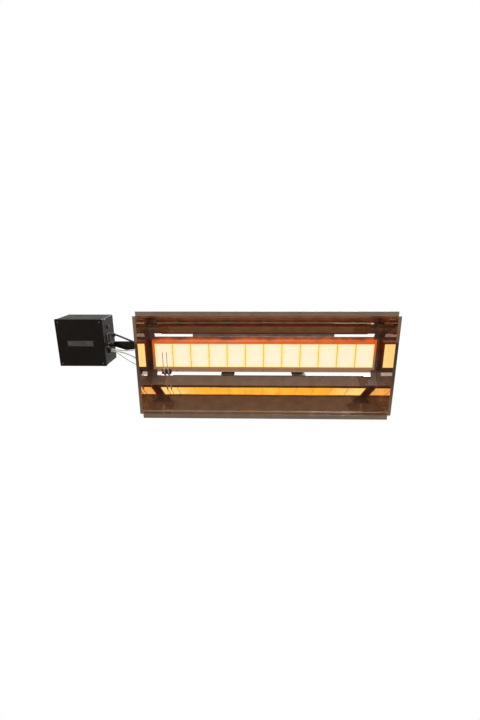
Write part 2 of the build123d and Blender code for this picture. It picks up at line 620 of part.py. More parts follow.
def cut_air_windows():
    """Cut the air windows through a round wall about the mixing tube's axis."""
    for index in range(AIR_WINDOWS // 2):
        turn = 45 + index * 360 / AIR_WINDOWS
        with Locations(Location((WINDOW_CENTRE_X, at(TUBE_DEPTH), 0), (turn, 0, 0))):
            Box(AIR_WINDOW_LENGTH, WINDOW_CHORD, 4 * TUBE_R, mode=Mode.SUBTRACT)


with BuildPart() as mixing_tube:
    with BuildSketch(across(TUBE_INLET_X - STOP_SHEET, TUBE_DEPTH)):
        Circle(STOP_R)
    extrude(amount=STOP_SHEET)
    with BuildSketch(across(TUBE_INLET_X, TUBE_DEPTH)):
        Circle(TUBE_R)
    extrude(amount=TUBE_END_X - TUBE_INLET_X)
    with BuildSketch(across(TUBE_INLET_X + SHUTTER_LENGTH + 2 * SIDE_GAP, TUBE_DEPTH)):
        Circle(STOP_R)
    extrude(amount=STOP_SHEET)
    with BuildSketch(across(-TRAY_X, TUBE_DEPTH)):
        Circle(TUBE_R + 3 * STOP_SHEET)
    extrude(amount=-STOP_SHEET)
    with BuildSketch(across(TUBE_INLET_X, TUBE_DEPTH)):
        Circle(TUBE_R - TUBE_WALL)
    extrude(amount=TUBE_END_X - TUBE_INLET_X, mode=Mode.SUBTRACT)
    with BuildSketch(across(TUBE_INLET_X, TUBE_DEPTH)):
        Circle(INJECTOR_R)
    extrude(amount=-STOP_SHEET, mode=Mode.SUBTRACT)
    cut_air_windows()
save(mixing_tube, "mixing_tube")

with BuildPart() as air_shutter:
    with BuildSketch(across(TUBE_INLET_X + SIDE_GAP, TUBE_DEPTH)):
        Circle(TUBE_R + SHUTTER_FIT + SHUTTER_WALL)
    extrude(amount=SHUTTER_LENGTH)
    with Locations((TUBE_INLET_X + SIDE_GAP + SHUTTER_LENGTH - 4.0, at(TUBE_DEPTH), TUBE_R + 5.0)):
        Box(8.0, 3.0, 12.0)
    with BuildSketch(across(TUBE_INLET_X + SIDE_GAP, TUBE_DEPTH)):
        Circle(TUBE_R + SHUTTER_FIT)
    extrude(amount=SHUTTER_LENGTH, mode=Mode.SUBTRACT)
    cut_air_windows()
save(air_shutter, "air_shutter")

INJECTOR_OUT = TUBE_INLET_X - STOP_SHEET
with BuildPart() as injector:
    with BuildSketch(across(INJECTOR_OUT, TUBE_DEPTH)):
        RegularPolygon(INJECTOR_HEX / 2, 6, major_radius=False)
    extrude(amount=-INJECTOR_BODY)
    with BuildSketch(across(INJECTOR_OUT, TUBE_DEPTH)):
        Circle(INJECTOR_R)
    extrude(amount=STOP_SHEET + 12.0)
    with BuildSketch(injector.faces().sort_by(Axis.X)[-1]):
        Circle(0.8 * INJECTOR_R)
    extrude(amount=8.0, taper=20)
    with BuildSketch(across(INJECTOR_OUT - INJECTOR_BODY, TUBE_DEPTH)):
        Circle(1.0)
    extrude(amount=INJECTOR_BODY + STOP_SHEET + 20.0, mode=Mode.SUBTRACT)
save(injector, "injector")

PIPE_END_X = INJECTOR_OUT - INJECTOR_BODY
VALVE_RIGHT = BOX_RIGHT - VALVE_TO_WALL
PIPE_ROUTE = [
    (VALVE_RIGHT, at(PIPE_DEPTH), PIPE_Z),
    (BOX_RIGHT + 17.0, at(PIPE_DEPTH), PIPE_Z),
    (PIPE_END_X - 42.0, at(282.0), 50.0),
    (PIPE_END_X - 30.0, at(264.0), 20.0),
    (PIPE_END_X - 22.0, at(TUBE_DEPTH), 0.0),
    (PIPE_END_X, at(TUBE_DEPTH), 0.0),
]
with BuildPart() as gas_pipe:
    with BuildLine() as pipe_path:
        FilletPolyline(*PIPE_ROUTE, radius=[40.0, 15.0, 15.0, 10.0])
    with BuildSketch(Plane(pipe_path.line @ 0, z_dir=pipe_path.line % 0)):
        Circle(PIPE_R)
    sweep(path=pipe_path.line)
save(gas_pipe, "gas_pipe")

with BuildPart() as pipe_nuts:
    for nut_x, nut_depth, nut_z, length in ((BOX_RIGHT, PIPE_DEPTH, PIPE_Z, 12.0),
                                            (PIPE_END_X, TUBE_DEPTH, 0.0, -11.0)):
        with BuildSketch(across(nut_x, nut_depth, nut_z)):
            RegularPolygon(PIPE_NUT_HEX / 2, 6, major_radius=False)
            Circle(PIPE_R + HOLE_GAP, mode=Mode.SUBTRACT)
        extrude(amount=length)
save(pipe_nuts, "pipe_nuts")

# ---------------------------------------------------------------- electrodes

def insulator_point(x, distance):
    """Point on an insulator's axis, a distance from the electrode's bend."""
    return Vector(x, at(ROD_DEPTH), INSULATOR_TOP) + INSULATOR_AXIS * distance


with BuildPart() as electrode_insulators:
    for rod_x in ELECTRODE_XS:
        for start, end, radius in ((INSULATOR_START, INSULATOR_START + INSULATOR_LENGTH, INSULATOR_R),
                                   (COLLAR_START, COLLAR_START + 8.0, INSULATOR_R + 1.8)):
            with BuildSketch(Plane(insulator_point(rod_x, start), (1, 0, 0), INSULATOR_AXIS)):
                Circle(radius)
            extrude(amount=end - start)
        with BuildSketch(Plane(insulator_point(rod_x, INSULATOR_START), (1, 0, 0), INSULATOR_AXIS)):
            Circle(ROD_R + HOLE_GAP)
        extrude(amount=INSULATOR_LENGTH, mode=Mode.SUBTRACT)
save(electrode_insulators, "electrode_insulators")

for rod_x, label in zip(ELECTRODE_XS, ("ignition_electrode", "sensing_electrode")):
    with BuildPart() as electrode:
        with BuildLine() as rod_path:
            FilletPolyline(insulator_point(rod_x, INSULATOR_START + INSULATOR_LENGTH),
                           insulator_point(rod_x, 0),
                           Vector(rod_x, at(ROD_DEPTH), ROD_TOP), radius=6.0)
        with BuildSketch(Plane(rod_path.line @ 0, z_dir=rod_path.line % 0)):
            Circle(ROD_R)
        sweep(path=rod_path.line)
    save(electrode, label)

with BuildPart() as electrode_bracket:
    fold = Vector(0, at(FLANGE_DEPTH), -FLANGE_HALF_HEIGHT + 1.5)
    leg = fold + Vector(0, INSULATOR_AXIS.Z, -INSULATOR_AXIS.Y) * BRACKET_LEG
    with BuildSketch(Plane.YZ.offset(NOTCH_X - BRACKET_WIDTH / 2)):
        with BuildLine():
            Polyline((fold.Y, -BEVEL_Z - 1.0), (fold.Y, fold.Z), (leg.Y, leg.Z))
            offset(amount=BRACKET_SHEET, side=Side.RIGHT)
        make_face()
    extrude(amount=BRACKET_WIDTH)
    for rod_x in ELECTRODE_XS:
        with BuildSketch(Plane(insulator_point(rod_x, 0), (1, 0, 0), INSULATOR_AXIS)):
            Circle(INSULATOR_R + HOLE_GAP)
        extrude(amount=INSULATOR_LENGTH, mode=Mode.SUBTRACT)
save(electrode_bracket, "electrode_bracket")

# ---------------------------------------------------------------- control box
COVER_SPREAD = 2 * (COVER_FIT + BOX_SHEET)
COVER_SCREWS = [front(BOX_FRONT_DEPTH, BOX_X + sx * (BOX_WIDTH / 2 - COVER_SCREW_INSET),
                      BOX_Z + sz * (BOX_HEIGHT / 2 - COVER_SCREW_INSET))
                for sx in (-1, 1) for sz in (-1, 1)]
SIDE_SCREW_Z = BOX_HEIGHT / 2 - SIDE_SCREW_INSET
RIGHT_SCREWS = [across(BOX_RIGHT, SIDE_SCREW_DEPTH, BOX_Z + sz * SIDE_SCREW_Z) for sz in (-1, 1)]
LEFT_SCREWS = [-across(BOX_LEFT, SIDE_SCREW_DEPTH, BOX_Z + sz * SIDE_SCREW_Z) for sz in (-1, 1)]
SIDE_SCREWS = RIGHT_SCREWS + LEFT_SCREWS
BODY_FRONT = BOX_FRONT_DEPTH + BOX_SHEET
SPIGOT_R = 10.0
FOOT_BOLTS = [across(BOX_RIGHT, HOUSING_BACK_DEPTH - ARM_FOOT * 0.62, z)
              for z in (ARM_LOW_AT_BOX + 6.0, ARM_TOP - 6.0)]
INLET_X = VALVE_RIGHT - VALVE_WIDTH / 2
INLET_Z = VALVE_BOTTOM + VALVE_HEIGHT / 2
SOCKET = across(BOX_RIGHT, SOCKET_DEPTH, SOCKET_Z)


def box_front(depth, x=BOX_X, z=BOX_Z):
    """Plane parallel to the box's cover at a depth."""
    return front(depth, x, z)


with BuildPart() as box_body:
    with BuildSketch(box_front(BODY_FRONT)):
        Rectangle(BOX_WIDTH, BOX_HEIGHT)
    extrude(amount=BOX_BACK_DEPTH - BODY_FRONT)
    fillet(box_body.edges().filter_by(Axis.Y), radius=3.0)
    with BuildSketch(box_front(BODY_FRONT + BOX_SHEET)):
        Rectangle(BOX_WIDTH - 2 * BOX_SHEET, BOX_HEIGHT - 2 * BOX_SHEET)
    extrude(amount=BOX_BACK_DEPTH - BODY_FRONT - 2 * BOX_SHEET, mode=Mode.SUBTRACT)
    with BuildSketch(box_front(BODY_FRONT)):
        RectangleRounded(BOX_WIDTH - 2 * BOX_RETURN, BOX_HEIGHT - 2 * BOX_RETURN, 4.0)
    extrude(amount=BOX_SHEET, mode=Mode.SUBTRACT)
    drill(COVER_SCREWS + SIDE_SCREWS, BOX_SCREW_R, 12.0)
    drill(FOOT_BOLTS, BOLT_R, 12.0)
    drill([across(BOX_RIGHT, STUD_DEPTH, STUD_Z)], STUD_R, 12.0)
    drill([across(BOX_RIGHT, GLAND_DEPTH, GLAND_Z)], GLAND_R - 3.0, 12.0)
    drill([across(BOX_RIGHT, PIPE_DEPTH, PIPE_Z)], PIPE_R, 12.0)
    drill([across(BOX_RIGHT, BEZEL_DEPTH, BEZEL_Z)], BARREL_R, 12.0)
    drill([front(BOX_BACK_DEPTH, INLET_X, INLET_Z)], SPIGOT_R, 12.0)
    with BuildSketch(SOCKET):
        Rectangle(SOCKET_WIDTH + SOCKET_RIM, SOCKET_HEIGHT + SOCKET_RIM)
    extrude(amount=-2 * BOX_SHEET, mode=Mode.SUBTRACT)
save(box_body, "box_body")

with BuildPart() as box_cover:
    with BuildSketch(box_front(BOX_FRONT_DEPTH)):
        Rectangle(BOX_WIDTH + COVER_SPREAD, BOX_HEIGHT + COVER_SPREAD)
    extrude(amount=COVER_SKIRT)
    fillet(box_cover.edges().filter_by(Axis.Y), radius=4.0)
    fillet(box_cover.faces().sort_by(Axis.Y)[0].edges(), radius=2.0)
    with BuildSketch(box_front(BODY_FRONT)):
        RectangleRounded(BOX_WIDTH + 2 * COVER_FIT, BOX_HEIGHT + 2 * COVER_FIT, 3.0)
    extrude(amount=COVER_SKIRT, mode=Mode.SUBTRACT)
    drill(COVER_SCREWS, BOX_SCREW_R, 12.0)
save(box_cover, "box_cover")

with BuildPart() as box_screws:
    for plane in [-cover_screw for cover_screw in COVER_SCREWS] + SIDE_SCREWS:
        with BuildSketch(plane):
            Circle(2 * BOX_SCREW_R)
        extrude(amount=2.2, taper=16)
        with BuildSketch(plane):
            Circle(BOX_SCREW_R)
        extrude(amount=-8.0)
save(box_screws, "box_screws")

with BuildPart() as nameplate:
    with BuildSketch(front(BOX_FRONT_DEPTH, BOX_X, PLATE_Z)):
        RectangleRounded(PLATE_WIDTH, PLATE_HEIGHT, 3.0)
    extrude(amount=-PLATE_SHEET)
    with BuildSketch(front(BOX_FRONT_DEPTH - PLATE_SHEET, BOX_X, PLATE_Z)):
        RectangleRounded(PLATE_WIDTH - 6.0, PLATE_HEIGHT - 6.0, 2.0)
    extrude(amount=PLATE_SHEET / 2, mode=Mode.SUBTRACT)
save(nameplate, "nameplate")

# ---------------------------------------------------------------- reset button
BUTTON_LENGTH = 17.0
BUTTON_PROUD = 4.0
BUTTON_FLANGE = 2.0
BUTTON_FLANGE_R = 8.5
BARREL_LENGTH = 22.0
BEZEL_OUT = BOX_RIGHT + BEZEL_PROUD
BUTTON_OUT = BEZEL_OUT + BUTTON_PROUD
BUTTON_IN = BUTTON_OUT - BUTTON_LENGTH
BARREL_IN = BOX_RIGHT - BARREL_LENGTH
BUTTON_BORE = 12.0
SPRING_PITCH = 2.4

with BuildPart() as reset_bezel:
    with BuildSketch(across(BARREL_IN, BEZEL_DEPTH, BEZEL_Z)):
        Circle(BARREL_R)
    extrude(amount=BEZEL_OUT - BARREL_IN)
    with BuildSketch(across(BOX_RIGHT, BEZEL_DEPTH, BEZEL_Z)):
        Circle(BEZEL_R + 1.5)
    extrude(amount=BEZEL_PROUD, taper=14)
    with BuildSketch(across(BEZEL_OUT, BEZEL_DEPTH, BEZEL_Z)):
        Circle(BUTTON_R + BUTTON_FIT)
    extrude(amount=-(BEZEL_OUT - BUTTON_IN), mode=Mode.SUBTRACT)
    with BuildSketch(across(BARREL_IN + BUTTON_FLANGE, BEZEL_DEPTH, BEZEL_Z)):
        Circle(BUTTON_FLANGE_R + BUTTON_FIT)
    extrude(amount=BUTTON_IN - BARREL_IN + 0.2, mode=Mode.SUBTRACT)
save(reset_bezel, "reset_bezel")

with BuildPart() as reset_button:
    with BuildSketch(across(BUTTON_IN, BEZEL_DEPTH, BEZEL_Z)):
        Circle(BUTTON_R)
    extrude(amount=BUTTON_LENGTH)
    fillet(reset_button.edges().sort_by(Axis.X)[-1], radius=1.5)
    with BuildSketch(across(BUTTON_IN, BEZEL_DEPTH, BEZEL_Z)):
        Circle(BUTTON_FLANGE_R)
    extrude(amount=BUTTON_FLANGE)
    with BuildSketch(across(BUTTON_IN, BEZEL_DEPTH, BEZEL_Z)):
        Circle(BUTTON_R - 1.8)
    extrude(amount=BUTTON_BORE, mode=Mode.SUBTRACT)
save(reset_button, "reset_button")

SPRING_X = BARREL_IN + BUTTON_FLANGE + SPRING_WIRE_R
SPRING_LENGTH = BUTTON_IN + BUTTON_BORE - BUTTON_TRAVEL - 1.0 - SPRING_X
with BuildPart() as reset_spring:
    with BuildLine() as coil:
        Helix(SPRING_PITCH, SPRING_LENGTH - SPRING_WIRE_R, BUTTON_R - 3.4,
              center=(SPRING_X, at(BEZEL_DEPTH), BEZEL_Z), direction=(1, 0, 0))
    with BuildSketch(Plane(coil.line @ 0, z_dir=coil.line % 0)):
        Circle(SPRING_WIRE_R)
    sweep(path=coil.line, is_frenet=True)
save(reset_spring, "reset_spring")

# ---------------------------------------------------------------- power inlet, earth stud, gland
with BuildPart() as power_inlet:
    with BuildSketch(SOCKET):
        RectangleRounded(SOCKET_WIDTH + 2 * SOCKET_RIM, SOCKET_HEIGHT + 2 * SOCKET_RIM, 4.0)
    extrude(amount=SOCKET_PROUD)
    with BuildSketch(SOCKET):
        Rectangle(SOCKET_WIDTH + SOCKET_RIM - 2 * HOLE_GAP, SOCKET_HEIGHT + SOCKET_RIM - 2 * HOLE_GAP)
    extrude(amount=SOCKET_PROUD - SOCKET_HOLLOW - 4.0)
    with BuildSketch(SOCKET.offset(SOCKET_PROUD)):
        RectangleRounded(SOCKET_WIDTH, SOCKET_HEIGHT, 3.0)
    extrude(amount=-SOCKET_HOLLOW, mode=Mode.SUBTRACT)
    with BuildSketch(SOCKET.offset(SOCKET_PROUD - SOCKET_HOLLOW)):
        with Locations((0, SOCKET_HEIGHT * 0.3), (0, 0), (0, -SOCKET_HEIGHT * 0.3)):
            Rectangle(6.0, 2.0)
    extrude(amount=SOCKET_HOLLOW * 0.45)
save(power_inlet, "power_inlet")

with BuildPart() as earth_stud:
    with BuildSketch(across(BOX_RIGHT - 8.0, STUD_DEPTH, STUD_Z)):
        Circle(STUD_R)
    extrude(amount=22.0)
    for start, length in ((0.0, 5.0), (-BOX_SHEET, -4.0)):
        with BuildSketch(across(BOX_RIGHT + start, STUD_DEPTH, STUD_Z)):
            RegularPolygon(5.0, 6, major_radius=False)
        extrude(amount=length)
save(earth_stud, "earth_stud")

with BuildPart() as cable_gland:
    with BuildSketch(across(BOX_RIGHT, GLAND_DEPTH, GLAND_Z)):
        RegularPolygon(GLAND_R, 6, major_radius=False)
    extrude(amount=GLAND_PROUD / 2)
    with BuildSketch(across(BOX_RIGHT + GLAND_PROUD / 2, GLAND_DEPTH, GLAND_Z)):
        Circle(GLAND_R - 0.6)
    extrude(amount=GLAND_PROUD / 2, taper=12)
    with BuildSketch(across(BOX_RIGHT, GLAND_DEPTH, GLAND_Z)):
        Circle(GLAND_R - 3.0)
    extrude(amount=-8.0)
save(cable_gland, "cable_gland")

# ---------------------------------------------------------------- gas valve and controller
VALVE_BACK = BOX_BACK_DEPTH - BOX_SHEET
COIL_XS = [INLET_X - COIL_PITCH / 2, INLET_X + COIL_PITCH / 2]
COIL_DEPTH = VALVE_BACK - VALVE_DEPTH / 2
VALVE_TOP = VALVE_BOTTOM + VALVE_HEIGHT
COIL_CAP = 3.0
PLUNGER_TOP = VALVE_TOP + PLUNGER_LENGTH


def level(z, x=0.0, depth=0.0):
    """Level plane at a height."""
    return Plane((x, at(depth), z))


with BuildPart() as gas_valve_body:
    with BuildSketch(front(VALVE_BACK, INLET_X, INLET_Z)):
        Rectangle(VALVE_WIDTH, VALVE_HEIGHT)
    extrude(amount=-VALVE_DEPTH)
    chamfer(gas_valve_body.edges().filter_by(Axis.X), 3.0)
    with BuildSketch(across(VALVE_RIGHT, PIPE_DEPTH, PIPE_Z)):
        Circle(PIPE_R - 1.0)
    extrude(amount=-12.0, mode=Mode.SUBTRACT)
    drill([front(VALVE_BACK, INLET_X, INLET_Z)], INLET_R - 4.0, VALVE_DEPTH / 2)
save(gas_valve_body, "gas_valve_body")

with BuildPart() as valve_coils:
    for coil_x in COIL_XS:
        with BuildSketch(level(VALVE_TOP, coil_x, COIL_DEPTH)):
            Circle(COIL_R)
        extrude(amount=COIL_LENGTH)
        with BuildSketch(level(VALVE_TOP, coil_x, COIL_DEPTH)):
            Circle(PLUNGER_R + PLUNGER_FIT)
        extrude(amount=COIL_LENGTH - COIL_CAP, mode=Mode.SUBTRACT)
save(valve_coils, "valve_coils")

with BuildPart() as valve_plungers:
    for coil_x in COIL_XS:
        with BuildSketch(level(VALVE_TOP + SIDE_GAP, coil_x, COIL_DEPTH)):
            Circle(PLUNGER_R)
        extrude(amount=PLUNGER_LENGTH)
save(valve_plungers, "valve_plungers")

VALVE_SPRING_FOOT = PLUNGER_TOP + SIDE_GAP + SPRING_WIRE_R
VALVE_SPRING_LENGTH = VALVE_TOP + COIL_LENGTH - COIL_CAP - SPRING_WIRE_R - VALVE_SPRING_FOOT - 0.2
with BuildPart() as valve_springs:
    for coil_x in COIL_XS:
        with BuildLine() as coil:
            Helix(SPRING_PITCH, VALVE_SPRING_LENGTH, PLUNGER_R - 1.4,
                  center=(coil_x, at(COIL_DEPTH), VALVE_SPRING_FOOT))
        with BuildSketch(Plane(coil.line @ 0, z_dir=coil.line % 0)):
            Circle(SPRING_WIRE_R)
        sweep(path=coil.line, is_frenet=True)
save(valve_springs, "valve_springs")

with BuildPart() as gas_inlet_union:
    with BuildSketch(front(BOX_BACK_DEPTH, INLET_X, INLET_Z)):
        RegularPolygon(INLET_HEX / 2, 6, major_radius=False)
    extrude(amount=INLET_PROUD)
    with BuildSketch(front(BOX_BACK_DEPTH, INLET_X, INLET_Z)):
        Circle(SPIGOT_R)
    extrude(amount=-BOX_SHEET)
    with BuildSketch(front(BOX_BACK_DEPTH + INLET_PROUD, INLET_X, INLET_Z)):
        Circle(INLET_R)
    extrude(amount=-INLET_LENGTH, mode=Mode.SUBTRACT)
    drill([front(BOX_BACK_DEPTH, INLET_X, INLET_Z)], INLET_R - 4.0, 4 * INLET_PROUD)
save(gas_inlet_union, "gas_inlet_union")

with BuildPart() as ignition_controller:
    with BuildSketch(front(VALVE_BACK, BOX_X - 10.0, BOX_BOTTOM + 60.0)):
        Rectangle(130.0, 70.0)
    extrude(amount=-42.0)
    fillet(ignition_controller.edges().filter_by(Axis.Y), radius=4.0)
    chamfer(ignition_controller.faces().sort_by(Axis.Y)[0].edges(), 2.0)
save(ignition_controller, "ignition_controller")

# ---------------------------------------------------------------- support arm and M6 bolts
ARM_END_X = -TRAY_X + ARM_OVERLAP
ARM_OUTLINE = [
    (BOX_RIGHT, ARM_TOP),
    (ARM_END_X, ARM_TOP),
    (ARM_END_X, ARM_LOW),
    (BOX_RIGHT + ARM_TAPER, ARM_LOW),
    (BOX_RIGHT, ARM_LOW_AT_BOX),
]
with BuildPart() as support_arm:
    with BuildSketch(front(HOUSING_BACK_DEPTH)):
        with BuildLine():
            Polyline(*[(x, -z) for x, z in ARM_OUTLINE], close=True)
        make_face()
    extrude(amount=ARM_FLANGE)
    with BuildSketch(front(HOUSING_BACK_DEPTH + ARM_SHEET)):
        with BuildLine():
            Polyline(*[(x, -z) for x, z in ARM_OUTLINE], close=True)
        make_face()
        offset(amount=-ARM_SHEET)
    extrude(amount=ARM_FLANGE, mode=Mode.SUBTRACT)
    with BuildSketch(across(BOX_RIGHT, HOUSING_BACK_DEPTH, (ARM_TOP + ARM_LOW_AT_BOX) / 2)):
        with Locations((-ARM_FOOT / 2 + ARM_SHEET, 0)):
            Rectangle(ARM_FOOT, ARM_TOP - ARM_LOW_AT_BOX)
    extrude(amount=ARM_SHEET)
    drill(FOOT_BOLTS, BOLT_R, 12.0)
    drill(ARM_BOLTS, BOLT_R, 12.0)
save(support_arm, "support_arm")

BOLT_SEATS = [plane.offset(ARM_SHEET) for plane in ARM_BOLTS + FOOT_BOLTS]
BOLT_SEATS += [front(SADDLE_FRONT + SADDLE_SHEET, x, RAIL_BOLT_Z) for x in RAIL_BOLT_XS]
with BuildPart() as bracket_bolts:
    for plane in BOLT_SEATS:
        with BuildSketch(plane):
            RegularPolygon(BOLT_HEX / 2, 6, major_radius=False)
        extrude(amount=BOLT_HEAD)
        with BuildSketch(plane):
            Circle(BOLT_R)
        extrude(amount=-BOLT_REACH)
save(bracket_bolts, "bracket_bolts")

# ---------------------------------------------------------------- leads
GLAND_OUT = BOX_RIGHT + GLAND_PROUD
LEAD_ENDS = [insulator_point(x, INSULATOR_START + INSULATOR_LENGTH) for x in ELECTRODE_XS]


def corner_radii(route):
    """Largest arc at each corner of a route: 0.45 of the shorter run over the half turn's tangent."""
    radii = []
    for before, corner, after in zip(route, route[1:], route[2:]):
        arriving = corner - before
        leaving = after - corner
        half_turn = radians(arriving.get_angle(leaving)) / 2
        radii.append(0.45 * min(arriving.length, leaving.length) / tan(half_turn))
    return radii


IGNITION_ROUTE = [
    Vector(GLAND_OUT, at(224), 25.5),
    Vector(-780, at(224), 25.5),
    Vector(-746, at(225), 20),
    Vector(-712, at(226), 19),
    Vector(-680, at(227), 25),
    Vector(-652, at(228), 14),
    Vector(-634, at(229), -13),
    Vector(-626, at(231), -45),
    Vector(-620, at(235), -78),
    Vector(-614, at(242), -107),
    Vector(-608, at(252), -136),
    Vector(-600, at(263), -163),
    Vector(-586, at(273), -184),
    Vector(-560, at(282), -199),
    Vector(-532, at(274), -190),
    LEAD_ENDS[0] + INSULATOR_AXIS * 30.0,
    LEAD_ENDS[0],
]
SENSING_ROUTE = [
    Vector(GLAND_OUT, at(224), 17),
    Vector(-782, at(224), 17),
    Vector(-750, at(225), 10),
    Vector(-720, at(227), -1),
    Vector(-694, at(230), -15),
    Vector(-670, at(235), -34),
    Vector(-652, at(241), -58),
    Vector(-640, at(247), -84),
    Vector(-630, at(257), -112),
    Vector(-616, at(270), -139),
    Vector(-598, at(285), -163),
    Vector(-574, at(296), -184),
    Vector(-544, at(298), -202),
    Vector(-518, at(280), -194),
    LEAD_ENDS[1] + INSULATOR_AXIS * 30.0,
    LEAD_ENDS[1],
]
EARTH_END = Vector(-END_SCREW_X, at(FRAME_SCREW_END), -SCREW_Z)
EARTH_ROUTE = [
    Vector(GLAND_OUT, at(218), 16),
    Vector(-788, at(218), 16),
    Vector(-766, at(219), 3),
    Vector(-741, at(220), -17),
    Vector(-713, at(222), -38),
    Vector(-685, at(225), -56),
    Vector(-660, at(230), -72),
    Vector(-640, at(237), -84),
    EARTH_END + Vector(-50.4, 18.1, -2),
    EARTH_END + Vector(-39.7, 30, -5),
    EARTH_END + Vector(-24.2, 33.9, -6),
    EARTH_END + Vector(-9.2, 28.4, -4),
    EARTH_END + Vector(0, 15.3, 0),
    EARTH_END,
]
for route, radius, label in ((IGNITION_ROUTE, LEAD_R, "ignition_lead"),
                             (SENSING_ROUTE, LEAD_R, "sensing_lead"),
                             (EARTH_ROUTE, EARTH_LEAD_R, "earth_lead")):
    radii = corner_radii(route)
    with BuildPart() as lead:
        with BuildLine() as lead_path:
            FilletPolyline(*route, radius=radii)
        with BuildSketch(Plane(lead_path.line @ 0, z_dir=lead_path.line % 0)):
            Circle(radius)
        sweep(path=lead_path.line)
    save(lead, label)
    length = lead_path.wire().length
    print(label, "length", round(length), "radii", [round(value) for value in radii],
          "volume share", round(lead.part.volume / (pi * radius ** 2 * length), 3))
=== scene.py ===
"""Looks of a wall-mounted gas infrared heater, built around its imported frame. Metres throughout."""

import json
import logging
import math
from dataclasses import dataclass
from enum import Enum
from typing import Callable, Sequence

import bmesh
import bpy
from mathutils import Matrix, Vector


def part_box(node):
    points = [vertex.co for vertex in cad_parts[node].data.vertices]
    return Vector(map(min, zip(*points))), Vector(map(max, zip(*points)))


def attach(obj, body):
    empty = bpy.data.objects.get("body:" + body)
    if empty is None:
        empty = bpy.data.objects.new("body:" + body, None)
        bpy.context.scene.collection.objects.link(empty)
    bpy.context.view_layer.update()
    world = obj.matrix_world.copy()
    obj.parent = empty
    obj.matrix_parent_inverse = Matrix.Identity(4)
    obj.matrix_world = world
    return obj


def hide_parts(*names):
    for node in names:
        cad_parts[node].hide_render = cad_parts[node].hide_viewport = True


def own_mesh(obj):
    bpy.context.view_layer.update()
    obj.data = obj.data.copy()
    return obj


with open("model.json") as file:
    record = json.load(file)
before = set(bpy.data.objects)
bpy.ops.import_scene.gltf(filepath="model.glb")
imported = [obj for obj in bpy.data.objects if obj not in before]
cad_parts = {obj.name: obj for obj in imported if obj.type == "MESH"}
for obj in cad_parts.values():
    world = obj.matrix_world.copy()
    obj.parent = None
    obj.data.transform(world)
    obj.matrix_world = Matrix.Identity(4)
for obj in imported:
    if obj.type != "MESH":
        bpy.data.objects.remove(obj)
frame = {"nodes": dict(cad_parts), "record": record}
log = logging.getLogger("heater")

Colour = tuple[float, float, float]
Point = tuple[float, float, float]
Socket = bpy.types.NodeSocket
WALL_DEPTH = 0.440


def at(depth: float) -> float:
    """Y of a depth behind the heater's opening plane."""
    return depth - WALL_DEPTH


# ---------------------------------------------------------------- shader building


class Effect(Enum):
    """Surface effects that several finishes share, each one a node group."""

    GRAIN = "grain"
    EDGES = "edges"
    DUST = "dust"
    HEAT = "heat_tint"
    PORES = "pores"
    TILES = "tile_fade"


